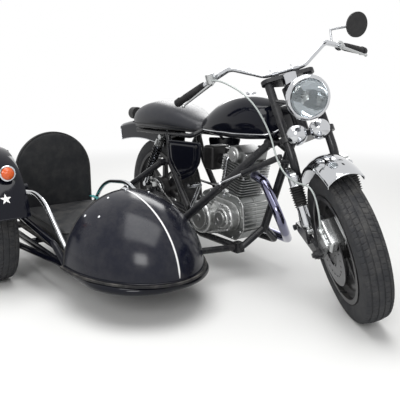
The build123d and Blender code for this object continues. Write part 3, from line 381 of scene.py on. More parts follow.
def add_node(tree, kind, inputs=None, **settings):
    """New node with its settings, and the values of its named or numbered inputs."""
    node = tree.nodes.new(kind)
    for name, value in settings.items():
        setattr(node, name, value)
    for key, value in (inputs or {}).items():
        node.inputs[key].default_value = value
    return node


def new_group(name, inputs, outputs):
    """Empty shader group with its named sockets, and its two end nodes."""
    group = bpy.data.node_groups.new(name, "ShaderNodeTree")
    for label, kind, default in inputs:
        group.interface.new_socket(name=label, in_out="INPUT", socket_type=kind).default_value = default
    for label, kind in outputs:
        group.interface.new_socket(name=label, in_out="OUTPUT", socket_type=kind)
    return group, group.nodes.new("NodeGroupInput"), group.nodes.new("NodeGroupOutput")


def worn_colour_group():
    """Two colours mixed by cloudy noise in the object's own space, and the mask that mixes them."""
    group, start, end = new_group(
        "Worn colour",
        [("Base", "NodeSocketColor", (0.1, 0.1, 0.1, 1)), ("Worn", "NodeSocketColor", (0.3, 0.3, 0.3, 1)),
         ("Amount", "NodeSocketFloat", 0.3), ("Scale", "NodeSocketFloat", 6.0)],
        [("Color", "NodeSocketColor"), ("Mask", "NodeSocketFloat")],
    )
    link = group.links.new
    place = add_node(group, "ShaderNodeTexCoord")
    cloud = add_node(group, "ShaderNodeTexNoise", {"Detail": 9, "Roughness": 0.66})
    edge = add_node(group, "ShaderNodeMath", {0: 0.92}, operation="SUBTRACT")
    spread = add_node(group, "ShaderNodeMapRange", interpolation_type="SMOOTHSTEP")
    half = add_node(group, "ShaderNodeMath", {1: 0.55}, operation="MULTIPLY")
    high = add_node(group, "ShaderNodeMath", {1: 0.16}, operation="ADD")
    mix = add_node(group, "ShaderNodeMix", data_type="RGBA")
    link(place.outputs["Object"], cloud.inputs["Vector"])
    link(start.outputs["Scale"], cloud.inputs["Scale"])
    link(start.outputs["Amount"], half.inputs[0])
    link(half.outputs[0], edge.inputs[1])
    link(edge.outputs[0], spread.inputs["From Min"])
    link(edge.outputs[0], high.inputs[0])
    link(high.outputs[0], spread.inputs["From Max"])
    link(cloud.outputs[0], spread.inputs["Value"])
    link(spread.outputs[0], mix.inputs["Factor"])
    link(start.outputs["Base"], mix.inputs["A"])
    link(start.outputs["Worn"], mix.inputs["B"])
    link(mix.outputs["Result"], end.inputs["Color"])
    link(spread.outputs[0], end.inputs["Mask"])
    return group


def dust_group():
    """Dust that settles where a surface faces up: the normal's height times fine noise, over a colour."""
    group, start, end = new_group(
        "Settled dust",
        [("Base", "NodeSocketColor", (0.1, 0.1, 0.1, 1)), ("Dust", "NodeSocketColor", (0.3, 0.285, 0.26, 1)),
         ("Amount", "NodeSocketFloat", 0.2), ("Scale", "NodeSocketFloat", 14.0)],
        [("Color", "NodeSocketColor"), ("Mask", "NodeSocketFloat")],
    )
    link = group.links.new
    place = add_node(group, "ShaderNodeTexCoord")
    surface = add_node(group, "ShaderNodeNewGeometry")
    parts = add_node(group, "ShaderNodeSeparateXYZ")
    up = add_node(group, "ShaderNodeMapRange", {"From Min": -0.4, "To Min": 0.25})
    cloud = add_node(group, "ShaderNodeTexNoise", {"Detail": 10, "Roughness": 0.7})
    patch = add_node(group, "ShaderNodeMapRange", {"From Min": 0.36, "From Max": 0.72},
                     interpolation_type="SMOOTHSTEP")
    both = add_node(group, "ShaderNodeMath", operation="MULTIPLY")
    amount = add_node(group, "ShaderNodeMath", operation="MULTIPLY", use_clamp=True)
    mix = add_node(group, "ShaderNodeMix", data_type="RGBA")
    link(surface.outputs["Normal"], parts.inputs[0])
    link(parts.outputs["Z"], up.inputs["Value"])
    link(place.outputs["Object"], cloud.inputs["Vector"])
    link(start.outputs["Scale"], cloud.inputs["Scale"])
    link(cloud.outputs[0], patch.inputs["Value"])
    link(up.outputs[0], both.inputs[0])
    link(patch.outputs[0], both.inputs[1])
    link(both.outputs[0], amount.inputs[0])
    link(start.outputs["Amount"], amount.inputs[1])
    link(amount.outputs[0], mix.inputs["Factor"])
    link(start.outputs["Base"], mix.inputs["A"])
    link(start.outputs["Dust"], mix.inputs["B"])
    link(mix.outputs["Result"], end.inputs["Color"])
    link(amount.outputs[0], end.inputs["Mask"])
    return group


def grain_group():
    """Fine relief: cell edges and noise in the object's own space, turned into a normal."""
    group, start, end = new_group(
        "Surface grain",
        [("Scale", "NodeSocketFloat", 400.0), ("Depth", "NodeSocketFloat", 0.0002),
         ("Cells", "NodeSocketFloat", 0.5)],
        [("Normal", "NodeSocketVector"), ("Height", "NodeSocketFloat")],
    )
    link = group.links.new
    place = add_node(group, "ShaderNodeTexCoord")
    cells = add_node(group, "ShaderNodeTexVoronoi", feature="SMOOTH_F1")
    cloud = add_node(group, "ShaderNodeTexNoise", {"Detail": 4})
    mix = add_node(group, "ShaderNodeMix", data_type="FLOAT")
    bump = add_node(group, "ShaderNodeBump", {"Strength": 0.7})
    link(place.outputs["Object"], cells.inputs["Vector"])
    link(place.outputs["Object"], cloud.inputs["Vector"])
    link(start.outputs["Scale"], cells.inputs["Scale"])
    link(start.outputs["Scale"], cloud.inputs["Scale"])
    link(start.outputs["Cells"], mix.inputs["Factor"])
    link(cloud.outputs[0], mix.inputs["A"])
    link(cells.outputs["Distance"], mix.inputs["B"])
    link(mix.outputs["Result"], bump.inputs["Height"])
    link(start.outputs["Depth"], bump.inputs["Distance"])
    link(bump.outputs["Normal"], end.inputs["Normal"])
    link(mix.outputs["Result"], end.inputs["Height"])
    return group


GROUPS = {"worn": worn_colour_group(), "dust": dust_group(), "grain": grain_group()}


def use_group(tree, group, **values):
    """Places a group in a material with its own values; a colour gets its alpha here."""
    inputs = {key: (*value, 1) if isinstance(value, tuple) else value for key, value in values.items()}
    return add_node(tree, "ShaderNodeGroup", inputs, node_tree=GROUPS[group])


def new_material(name):
    """Empty material with its node tree and its shader."""
    material = bpy.data.materials.new(name)
    material.use_nodes = True
    return material, material.node_tree, material.node_tree.nodes["Principled BSDF"]


def finish(name, base, rough, metal=0.0, worn=None, wear=0.3, wear_scale=7.0, worn_rough=0.2, dust=0.0,
           dust_scale=16.0, grain=0.0, grain_scale=300.0, cells=0.4, coat=0.0, specular=0.5):
    """Principled finish: worn colour, then dust, over fine grain; wear and dust roughen it. The grain's depth
    is in millimetres."""
    material, tree, shader = new_material(name)
    link = tree.links.new
    shader.inputs["Metallic"].default_value = metal
    shader.inputs["Coat Weight"].default_value = coat
    shader.inputs["Coat Roughness"].default_value = 0.05
    shader.inputs["Specular IOR Level"].default_value = specular
    worn = worn or tuple(c * 1.35 + 0.004 for c in base)
    worn_node = use_group(tree, "worn", Base=base, Worn=worn, Amount=wear, Scale=wear_scale)
    dust_node = use_group(tree, "dust", Amount=dust, Scale=dust_scale)
    link(worn_node.outputs["Color"], dust_node.inputs["Base"])
    link(dust_node.outputs["Color"], shader.inputs["Base Color"])
    rougher = add_node(tree, "ShaderNodeMath", {1: worn_rough, 2: rough}, operation="MULTIPLY_ADD")
    dusty = add_node(tree, "ShaderNodeMath", {1: 0.5}, operation="MULTIPLY_ADD", use_clamp=True)
    link(worn_node.outputs["Mask"], rougher.inputs[0])
    link(dust_node.outputs["Mask"], dusty.inputs[0])
    link(rougher.outputs[0], dusty.inputs[2])
    link(dusty.outputs[0], shader.inputs["Roughness"])
    if grain:
        grain_node = use_group(tree, "grain", Scale=grain_scale, Depth=grain * MM, Cells=cells)
        link(grain_node.outputs["Normal"], shader.inputs["Normal"])
    return material


def clear_glass():
    """Clear lamp glass with upright flutes: ribs across one axis of the piece's own space."""
    material, tree, shader = new_material("glass")
    shader.inputs["Transmission Weight"].default_value = 1.0
    shader.inputs["Roughness"].default_value = 0.02
    shader.inputs["IOR"].default_value = 1.35
    shader.inputs["Base Color"].default_value = (0.95, 0.97, 0.97, 1)
    place = add_node(tree, "ShaderNodeTexCoord")
    flutes = add_node(tree, "ShaderNodeTexWave", {"Scale": 22}, bands_direction="X")
    bump = add_node(tree, "ShaderNodeBump", {"Strength": 0.35, "Distance": 0.0012})
    tree.links.new(place.outputs["Object"], flutes.inputs["Vector"])
    tree.links.new(flutes.outputs["Fac"], bump.inputs["Height"])
    tree.links.new(bump.outputs["Normal"], shader.inputs["Normal"])
    return material


FINISHES = {}


def mix_finishes():
    """Mixes every paint, metal, rubber and cloth that a piece asks for by name."""
    paint = bpy.context.scene.outfit_paint
    metal = bpy.context.scene.outfit_metal
    soft = bpy.context.scene.outfit_soft
    vinyl_grain = soft.grain_depth / MM
    table = {
        # paint
        # gloss: the blue in its colour and in its worn colour is painted reflection, standing in for the
        # sky's blue sheen on black paint
        "gloss": dict(base=tuple(paint.gloss_black_sky_tinted), rough=0.1, worn=(0.012, 0.013, 0.018), wear=0.25,
                      wear_scale=5, worn_rough=0.1, specular=0.22),
        # cowl: its colour and worn colour are tinted blue as painted reflection, standing in for the sky's
        # blue sheen on the nose
        "cowl": dict(base=tuple(paint.cowl_black_sky_tinted), rough=0.18, worn=(0.01, 0.0115, 0.02), wear_scale=4,
                     worn_rough=0.08, dust=0.06, specular=0.26),
        "satin": dict(base=tuple(paint.satin_colour), rough=0.26, worn=(0.05, 0.047, 0.044), wear_scale=22,
                      worn_rough=0.25, dust=0.1, specular=0.3, grain=0.05, grain_scale=120, cells=0.0),
        "wheel_black": dict(base=(0.01, 0.01, 0.012), rough=0.3, worn=(0.036, 0.034, 0.03), wear=0.32,
                            wear_scale=10, dust=0.22, specular=0.3),
        "white": dict(base=(0.75, 0.75, 0.75), rough=0.4, worn=(0.55, 0.55, 0.53), wear_scale=30),
        # metal
        "chrome": dict(base=tuple(metal.chrome_colour), rough=0.06, metal=1.0, worn=(0.3, 0.295, 0.285),
                       wear=0.34, wear_scale=18, worn_rough=0.14),
        "mirror": dict(base=(0.62, 0.64, 0.66), rough=0.04, metal=1.0, worn=(0.5, 0.52, 0.54), wear=0.2,
                       worn_rough=0.03),
        "steel": dict(base=(0.3, 0.3, 0.3), rough=0.3, metal=1.0, worn=(0.16, 0.135, 0.11), wear=0.42,
                      wear_scale=26),
        "disc": dict(base=(0.11, 0.11, 0.115), rough=0.3, metal=1.0, worn=(0.06, 0.052, 0.046), wear=0.5,
                     wear_scale=9),
        "chain": dict(base=(0.11, 0.11, 0.112), rough=0.42, metal=1.0, worn=(0.04, 0.038, 0.035), wear=0.6,
                      wear_scale=60),
        "blued": dict(base=(0.2, 0.2, 0.29), rough=0.14, metal=1.0, worn=(0.24, 0.16, 0.1), wear=0.6,
                      wear_scale=6, worn_rough=0.15),
        "alloy": dict(base=tuple(metal.alloy_colour), rough=0.34, metal=0.9, worn=(0.085, 0.083, 0.075),
                      wear=0.62, wear_scale=13, worn_rough=0.3, grain=0.12, grain_scale=260, cells=0.2),
        "cast": dict(base=(0.44, 0.445, 0.44), rough=0.34, metal=0.9, worn=(0.2, 0.195, 0.18), wear=0.5,
                     wear_scale=14, worn_rough=0.3, grain=0.1, grain_scale=260, cells=0.2),
        "fin_alloy": dict(base=(0.27, 0.275, 0.275), rough=0.4, metal=0.85, worn=(0.09, 0.087, 0.08),
                          wear=0.6, wear_scale=15, worn_rough=0.25, grain=0.15, cells=0.2),
        "bright_alloy": dict(base=(0.47, 0.48, 0.48), rough=0.22, metal=0.95, worn=(0.2, 0.195, 0.185),
                             wear=0.45, wear_scale=16, worn_rough=0.22),
        # rubber, vinyl, plastic and cloth
        "tyre": dict(base=tuple(soft.tyre_colour), rough=0.8, worn=(0.07, 0.069, 0.066), wear=0.5,
                     wear_scale=9, dust=0.22, dust_scale=24, grain=0.1, grain_scale=500, specular=0.2),
        "rubber": dict(base=(0.012, 0.012, 0.013), rough=0.6, worn=(0.03, 0.03, 0.029), wear=0.4,
                       wear_scale=20, dust=0.12, grain=0.06, grain_scale=500, specular=0.25),
        "vinyl": dict(base=tuple(soft.vinyl_colour), rough=0.36, worn=(0.022, 0.024, 0.03), wear=0.4,
                      wear_scale=8, worn_rough=0.12, dust=0.05, grain=vinyl_grain, grain_scale=420, cells=0.8,
                      specular=0.42),
        "dark_vinyl": dict(base=(0.012, 0.013, 0.015), rough=0.5, worn=(0.025, 0.025, 0.027), wear=0.4,
                           wear_scale=9, worn_rough=0.12, dust=0.12, grain=vinyl_grain, grain_scale=360,
                           cells=0.8, specular=0.3),
        "plastic": dict(base=(0.011, 0.011, 0.012), rough=0.38, worn=(0.025, 0.025, 0.025), dust=0.1,
                        grain=0.04, grain_scale=700, specular=0.3),
        "board": dict(base=(0.014, 0.014, 0.016), rough=0.8, worn=(0.04, 0.037, 0.032), wear=0.5,
                      wear_scale=12, dust=0.4, grain=0.3, grain_scale=260, cells=0.9, specular=0.2),
        "hose": dict(base=(0.36, 0.39, 0.38), rough=0.32, metal=0.2, worn=(0.22, 0.23, 0.22), wear=0.4,
                     wear_scale=40),
        "cable": dict(base=(0.01, 0.01, 0.011), rough=0.42, worn=(0.03, 0.03, 0.03), specular=0.3),
        "teal": dict(base=(0.02, 0.2, 0.2), rough=0.7, worn=(0.03, 0.27, 0.27), wear=0.5, wear_scale=60,
                     grain=0.2, grain_scale=700),
        # lamps
        "amber": dict(base=(0.6, 0.085, 0.004), rough=0.14, worn=(0.42, 0.05, 0.003), wear=0.4, coat=0.4),
        "red": dict(base=(0.45, 0.012, 0.01), rough=0.16, worn=(0.3, 0.01, 0.008), coat=0.4),
    }
    for name, values in table.items():
        FINISHES[name] = finish(name, **values)
    FINISHES["glass"] = clear_glass()


# Making pieces

def piece(name, sheets, body, finish_name, replaces=(), sharp=38):
    """Joins grids of drawing points into one welded object."""
    verts, faces, maps, count = [], [], [], 0
    for points in sheets:
        nu, nv = points.shape[:2]
        i, j = np.meshgrid(np.arange(nu - 1), np.arange(nv - 1), indexing="ij")
        corner = (i * nv + j).ravel()
        face = np.stack([corner, corner + nv, corner + nv + 1, corner + 1], 1)
        u, v = np.meshgrid(np.linspace(0, 1, nu), np.linspace(0, 1, nv), indexing="ij")
        verts.append(points.reshape(-1, 3))
        maps.append(np.stack([u, v], -1).reshape(-1, 2)[face.ravel()])
        faces.append(face + count)
        count += nu * nv
    mesh = bpy.data.meshes.new(name)
    mesh.from_pydata(placed(np.concatenate(verts), body).tolist(), [], np.concatenate(faces).tolist())
    mesh.uv_layers.new(name="Route").data.foreach_set("uv", np.concatenate(maps).ravel())
    weld(mesh, sharp)
    return settle(name, mesh, body, [finish_name], replaces)


def weld(mesh, sharp):
    """Merges doubled points, turns closed shells outward and marks the edges sharper than an angle."""
    work = bmesh.new()
    work.from_mesh(mesh)
    bmesh.ops.remove_doubles(work, verts=work.verts, dist=WELD)
    bmesh.ops.dissolve_degenerate(work, edges=work.edges, dist=1e-7)
    bmesh.ops.recalc_face_normals(work, faces=work.faces)
    work.to_mesh(mesh)
    work.free()
    mesh.shade_smooth()
    mesh.set_sharp_from_angle(angle=math.radians(sharp))


def settle(name, mesh, body, finish_names, replaces=()):
    """Puts a mesh in the scene on its body with its finishes, in place of the nodes it stands for."""
    thing = bpy.data.objects.new(name, mesh)
    bpy.context.scene.collection.objects.link(thing)
    for finish_name in finish_names:
        mesh.materials.append(FINISHES[finish_name])
    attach(thing, body)
    if replaces:
        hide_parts(*replaces)
    return thing


def smoothed(node, *finish_names, bevel=0.0, choose=None):
    """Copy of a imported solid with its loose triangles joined, flat ones merged, smooth shading, and edges
    eased by a bevel in millimetres. Where it has several finishes, choose gives each face's number from the
    drawing point of its middle."""
    source = frame["nodes"][node]
    mesh = source.data.copy()
    mesh.materials.clear()
    work = bmesh.new()
    work.from_mesh(mesh)
    bmesh.ops.remove_doubles(work, verts=work.verts, dist=COPY_WELD)
    bmesh.ops.dissolve_degenerate(work, edges=work.edges, dist=1e-6)
    bmesh.ops.dissolve_limit(work, angle_limit=math.radians(COPY_FLAT), verts=work.verts, edges=work.edges)
    work.to_mesh(mesh)
    work.free()
    if "custom_normal" in mesh.attributes:
        mesh.attributes.remove(mesh.attributes["custom_normal"])
    mesh.shade_smooth()
    mesh.set_sharp_from_angle(angle=math.radians(COPY_SHARP))
    numbers = np.zeros(len(mesh.polygons), np.int32)
    if choose:
        middles = np.empty(len(mesh.polygons) * 3)
        mesh.polygons.foreach_get("center", middles)
        numbers[:] = choose(drawn(middles.reshape(-1, 3), source["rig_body"]))
    mesh.polygons.foreach_set("material_index", numbers)
    thing = settle(node + ".skin", mesh, source["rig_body"], finish_names, (node,))
    if bevel:
        ease = thing.modifiers.new("Eased edges", "BEVEL")
        ease.width = bevel * MM
        ease.segments = 2
        ease.limit_method = "ANGLE"
        ease.angle_limit = math.radians(COPY_EASED)
        ease.harden_normals = True
    return thing


# Tyres and wheels

def tyre_skin(size, height, depth):
    """Tyre turned round its axle. The radius of each point is the profile's, less the tread's depth where one
    of four running grooves passes, or where a sipe does: a narrow pulse of the turn, slanted and staggered
    rib by rib."""
    diameter, width, bead, pitches = size["diameter"], size["width"], size["bead"], size["pitches"]
    top, low, half = diameter / 2, bead / 2, width / 2
    tread, shoulder_r = half - 17, top - 20
    wall = arc_through((half - 9, low + 13), (half, (low + 13 + shoulder_r) / 2), (half - 3, shoulder_r), 13)
    edge = arc_through((half - 3, shoulder_r), (half - 7, top - 9.5), (tread, top - 5), 8)
    crown = arc_through((tread, top - 5), (0, top), (-tread, top - 5), 65)
    side = np.concatenate([[(half - 9, low)], wall, edge[1:-1]])
    loop = np.concatenate([side, crown, side[::-1] * (-1, 1), [(0, low), (half - 9, low)]])
    y, r = loop[None, :, 0], loop[None, :, 1]
    turn = np.linspace(0, 1, pitches * 10 + 1)[:, None]
    groove = np.zeros_like(y)
    for centre in (-0.31, -0.1, 0.1, 0.31):
        groove = np.maximum(groove, np.clip(2.2 - np.abs(y - centre * width) / 1.25, 0, 1))
    rib = np.floor((y / width + 0.5) * 5)
    phase = (turn * pitches + 0.37 * rib + 0.012 * np.abs(y)) % 1
    pulse = np.clip(1.5 - np.abs(phase - 0.5) * 13, 0, 1)
    sipe = pulse * (np.abs(y) < half - 5.5) * np.where(rib == 2, 0.3, 0.7)
    radius = r - (r > shoulder_r + 3) * depth * np.maximum(groove, sipe)
    angle = turn * 2 * math.pi
    x, across = size["at"][0] + radius * np.cos(angle), size["at"][1] + y + 0 * angle
    return np.stack([x, across, height + radius * np.sin(angle)], -1)


class OUTFIT_OT_tyres(bpy.types.Operator):
    """Turn the three tyres with their ribs, grooves and sipes"""
    bl_idname = "outfit.tyres"
    bl_label = "Tyres"

    def execute(self, context):
        depth = context.scene.outfit_soft.tread_depth / MM
        valve = [(0, 0), (0, 4), (22, 4), (22, 3), (32, 3), (32, 0)]
        for place, size in TYRES.items():
            skin = tyre_skin(size, AXLE_Z[place], depth)
            piece(f"{place}_tyre.tread", [skin], size["body"], "tyre", [f"{place}_tyre"], 30)
            x, y = size["at"]
            foot = (x, y - 34, AXLE_Z[place] - size["bead"] / 2 + 8)
            piece(f"{place}_valve", [lathe(valve, foot, (0, -0.9, 0.42), 12)], size["body"], "cable")
        return {"FINISHED"}


class OUTFIT_OT_wheels(bpy.types.Operator):
    """Finish the cast wheels, the drilled disc, the drum's cover and the toothed ring"""
    bl_idname = "outfit.wheels"
    bl_label = "Wheels and brakes"

    def execute(self, context):
        for node in ("front_wheel", "rear_wheel", "side_wheel"):
            smoothed(node, "wheel_black", bevel=1.2)
        smoothed("front_disc", "disc", bevel=0.5)
        smoothed("rear_sprocket", "steel", bevel=0.5)
        smoothed("front_caliper", "bright_alloy", bevel=1.5)
        smoothed("rear_brake_panel", "bright_alloy", bevel=1.0)
        nut = [(0, 0), (0, 17), (9, 17), (10, 14), (10, 10), (24, 10), (25, 8), (25, 0)]
        ends = [lathe(nut, (0, sign * 121, AXLE_Z["rear"]), (0, sign, 0), 6) for sign in (-1, 1)]
        piece("rear_axle_nuts", ends, "chassis", "steel", sharp=25)
        rod = [(-20, -96, 378), (-6, -104, 398), (60, -112, 392), (180, -118, 330), (330, -126, 262)]
        piece("rear_brake_rod", [pipe(curved_path(rod, 8), 3.2, 10)], "chassis", "steel")
        hub_face = (SIDE_LEAD, -TRACK - 48, AXLE_Z["side"])
        cap = [(0, 0), (0, 26), (6, 26), (9, 22), (9, 15), (24, 15), (24, 9), (30, 8), (30, 0)]
        nuts = screws_round(hub_face, RIGHT, 36, 5, 6)
        piece("side_hub_cap", [lathe(cap, hub_face, RIGHT, 32), *nuts], "side_wheel", "steel")
        ring = screws_round((WHEELBASE, -68.6, AXLE_Z["front"]), RIGHT, 58, 6, 5)
        piece("front_disc_bolts", ring, "front_wheel", "steel")
        return {"FINISHED"}


# Tank and seat

# x, base half, half, shoulder half, low, middle, shoulder, top
TANK_SECTIONS = np.array([
    (1026, 58, 78, 54, 722, 768, 808, 820),
    (962, 92, 122, 84, 708, 770, 860, 882),
    (800, 110, 134, 92, 698, 776, 886, 912),
    (620, 106, 118, 74, 704, 770, 848, 872),
    (476, 82, 84, 44, 718, 748, 780, 792),
], float)
SEAT_SECTIONS = np.array([
    (468, 56, 58, 40, 706, 726, 750, 758),
    (380, 92, 98, 70, 704, 742, 780, 792),
    (220, 128, 146, 106, 704, 768, 832, 846),
    (40, 146, 166, 122, 704, 776, 848, 866),
    (-100, 136, 152, 108, 706, 768, 822, 836),
    (-182, 92, 100, 74, 718, 742, 766, 774),
], float)


def sectioned(rows, sections=56, end_round=34, count=96):
    """Body through its sections: their values run smoothly along X, and near each end the section shrinks as
    a circle does."""
    line = curved_path(rows, 24)
    share = np.linspace(0, 1, len(line))
    want = 0.5 - 0.5 * np.cos(np.pi * np.linspace(0, 1, sections))
    fine = np.stack([np.interp(want, share, line[:, k]) for k in range(line.shape[1])], 1)
    reach = np.minimum(np.abs(fine[:, 0] - fine[0, 0]), np.abs(fine[:, 0] - fine[-1, 0]))
    pull = np.sqrt(np.clip(1 - (1 - np.clip(reach / end_round, 0, 1))**2, 0, 1))
    grid = []
    for row, shrink in zip(fine, pull):
        loop = bowed_loop(*row[1:], count=count)
        middle = np.array([0.0, (row[4] + row[7]) / 2])
        loop = middle + (loop - middle) * shrink
        grid.append(np.concatenate([np.full((len(loop), 1), row[0]), loop], 1))
    return np.array(grid)


def skin_lines(skin, level, ends):
    """The same line along a body's right and left side, without the sections at its ends. In each section it
    takes the point of the wall at a share of the section's height, set out by a millimetre."""
    line = []
    for loop in skin[ends:-ends]:
        wall = loop[loop[:, 1] < -0.55 * np.abs(loop[:, 1]).max()]
        low, high = loop[:, 2].min(), loop[:, 2].max()
        near = wall[np.argmin(np.abs(wall[:, 2] - (low + level * (high - low))))]
        line.append(near - (0, 1.0, 0))
    right = curved_path(softened_open(np.array(line), 6)[::3], 4)
    return right, right * (1, -1, 1)


class OUTFIT_OT_tank(bpy.types.Operator):
    """Shape the tank with its chrome edge strip and filler cap"""
    bl_idname = "outfit.tank"
    bl_label = "Tank"

    def execute(self, context):
        skin = sectioned(TANK_SECTIONS)
        piece("tank.skin", [skin], "chassis", "gloss", ["tank"], 60)
        strip = [pipe(line, 3.6, 12) for line in skin_lines(skin, 0.14, 4)]
        piece("tank_strip", strip, "chassis", "chrome")
        cap = [(0, 0), (0, 33), (6, 33), (9, 31), (12, 31), (15, 27), (22, 26), (26, 22), (27, 12), (27, 0)]
        knob = lathe(cap, (786, 0, 894), (0.02, 0, 1), 48)
        piece("tank_cap.skin", [knob], "chassis", "chrome", ["tank_cap"])
        return {"FINISHED"}


class OUTFIT_OT_seat(bpy.types.Operator):
    """Shape the rider's padded seat with its welt and base band"""
    bl_idname = "outfit.seat"
    bl_label = "Rider's seat"

    def execute(self, context):
        skin = sectioned(SEAT_SECTIONS, 72, 42, 110)
        seat = piece("seat.cover", [skin], "chassis", "vinyl", ["seat"], 70)
        welt = [pipe(line, 2.2, 10) for line in skin_lines(skin, 0.2, 7)]
        piece("seat_welt", welt, "chassis", "rubber")
        band = [pipe(line, 4.0, 12) for line in skin_lines(skin, 0.07, 7)]
        piece("seat_band", band, "chassis", "plastic")
        return {"FINISHED"}


# Chair

def box_outline(low, high, radius, pull):
    """Closed line of a rounded oblong whose sides pull in between the corners, by a parabola of the place."""
    (x0, y0), (x1, y1) = low, high
    turn = np.linspace(0, np.pi / 2, 10)
    left, right, bottom, top = x0 + radius, x1 - radius, y0 + radius, y1 - radius
    line = np.concatenate([
        np.array(middle) + radius * np.stack([np.cos(turn + q * np.pi / 2), np.sin(turn + q * np.pi / 2)], 1)
        for q, middle in enumerate(((right, top), (left, top), (left, bottom), (right, bottom)))
    ])
    line = evened(np.concatenate([line, line[:1]]), 140)
    centre, half = np.array([(x0 + x1) / 2, (y0 + y1) / 2]), np.array([(x1 - x0) / 2, (y1 - y0) / 2])
    share = (line - centre) / half
    line[:, 0] -= pull * share[:, 0] * (1 - share[:, 1]**2).clip(0, 1)
    line[:, 1] -= pull * share[:, 1] * (1 - share[:, 0]**2).clip(0, 1)
    return line


def backrest_outline():
    """Closed (y, z) line of the backrest: straight sides from the floor up to a half circle, all softened."""
    arch = circle((BODY_Y, BACKREST_SPRING), BACKREST_HALF, 60, 0.5)
    left, right = (BODY_Y + BACKREST_HALF, FLOOR_TOP + 2), (BODY_Y - BACKREST_HALF, FLOOR_TOP + 2)
    outline = np.concatenate([[left], arch, [right, left]])
    return softened(evened(outline, 170), 4)


class OUTFIT_OT_chair_pads(bpy.types.Operator):
    """Shape the chair's crowned cushion and round-topped backrest, with their welts and strap"""
    bl_idname = "outfit.chair_pads"
    bl_label = "Chair cushions"

    def execute(self, context):
        self.lay_cushion(context.scene.outfit_soft.cushion_crown / MM)
        self.stand_backrest()
        line = curved_path([(-176, -424, 300), (-120, -424, 298), (-70, -430, 300), (-30, -446, 292)], 8)
        band = np.array([(-14, 0), (14, 0), (14, 3), (-14, 3), (-14, 0)], float)
        strap = swept(band, line, side=(0.0, 1.0, 0.0), up=(0.0, 0.0, 1.0))
        piece("lap_strap", [strap], "chassis", "teal")
        return {"FINISHED"}

    def lay_cushion(self, crown):
        """The welts are the cushion's own outline, drawn in a little at two heights."""
        base = box_outline((-172, BODY_Y - 219), (468, BODY_Y + 219), 34, 7)
        cover = pad(base, FLOOR_TOP + 1, 284, crown, 0.11)
        cushion = piece("cushion.cover", [cover], "chassis", "dark_vinyl", ["cushion"], 75)
        welts = []
        for level, draw in ((276, 0.978), (208, 0.99)):
            ring = shrunk(base, draw)
            welts.append(pipe(np.concatenate([ring, np.full((len(ring), 1), level)], 1), 3.0, 10))
        piece("cushion_welts", welts, "chassis", "rubber")

    def stand_backrest(self):
        """The pad lies in the (y, z) plane with its thickness as the third axis, and its front bulges by a
        power of the distance from a middle point."""
        outline = backrest_outline()
        y, z, thick = np.moveaxis(pad(outline, -39, -2, 0.0, 0.06), -1, 0)
        bulge = 4.5 * (1 - np.hypot((y - BODY_Y) / BACKREST_HALF, (z - 450) / 260)**2.5).clip(0, 1)
        board = np.stack([BACKREST_X + thick + np.where(thick > -20, bulge, 0) - 2.5, y, z], -1)
        backrest = piece("backrest.cover", [board], "chassis", "dark_vinyl", ["backrest"], 75)
        edge = np.stack([np.full(len(outline), BACKREST_X - 4.0), outline[:, 0], outline[:, 1]], 1)
        piece("backrest_welt", [pipe(shrunk(edge, (1, 0.985, 0.99)), 2.6, 10)], "chassis", "rubber")


def dome_sheet(inset=0):
    """Quarter of an ellipsoid from its tip to the arch: X goes with the cosine, the half circle's radius with
    the sine."""
    a = np.linspace(0, np.pi / 2, 40)[:, None]
    b = np.linspace(0, np.pi, 72)[None, :]
    length, radius = NOSE_LENGTH - inset, NOSE_RADIUS - inset
    x = NOSE_BACK_X + length * np.cos(a) + 0 * b
    y = BODY_Y - radius * np.sin(a) * np.cos(b)
    z = FLOOR_TOP + radius * np.sin(a) * np.sin(b)
    return np.stack([x, y, z], -1)


def nose_stripe():
    """Closed band over the middle of the dome: points a fraction of a millimetre over and under it, at angles
    beside the middle that grow toward the tip, so that the band keeps its width."""
    a = np.linspace(0.04, np.pi / 2 - 0.03, 90)[:, None]
    across = np.array([-1, -0.5, 0, 0.5, 1, 1, 0, -1, -1])[None, :]
    lift = np.array([0.7, 0.8, 0.8, 0.8, 0.7, -1, -1, -1, 0.7])[None, :]
    b = np.pi / 2 + across * 0.0125 / np.maximum(np.sin(a), 0.12)
    radius = NOSE_RADIUS + lift
    x = NOSE_BACK_X + (NOSE_LENGTH + lift) * np.cos(a)
    y = BODY_Y - radius * np.sin(a) * np.cos(b)
    z = FLOOR_TOP + radius * np.sin(a) * np.sin(b)
    return np.stack([x, y, z], -1)


def nose_stud(x, y):
    """Snap stud on the dome at (x, y), along the dome's own normal there."""
    ahead, beside = x - NOSE_BACK_X, y - BODY_Y
    height = NOSE_RADIUS * math.sqrt(1 - (ahead / NOSE_LENGTH)**2 - (beside / NOSE_RADIUS)**2)
    out = np.array([ahead / NOSE_LENGTH**2, beside / NOSE_RADIUS**2, height / NOSE_RADIUS**2])
    head = [(-1, 0), (-1, 6), (1, 6.5), (3.5, 5), (4.5, 2.5), (4.8, 0)]
    return lathe(head, (x, y, FLOOR_TOP + height), out, 20)


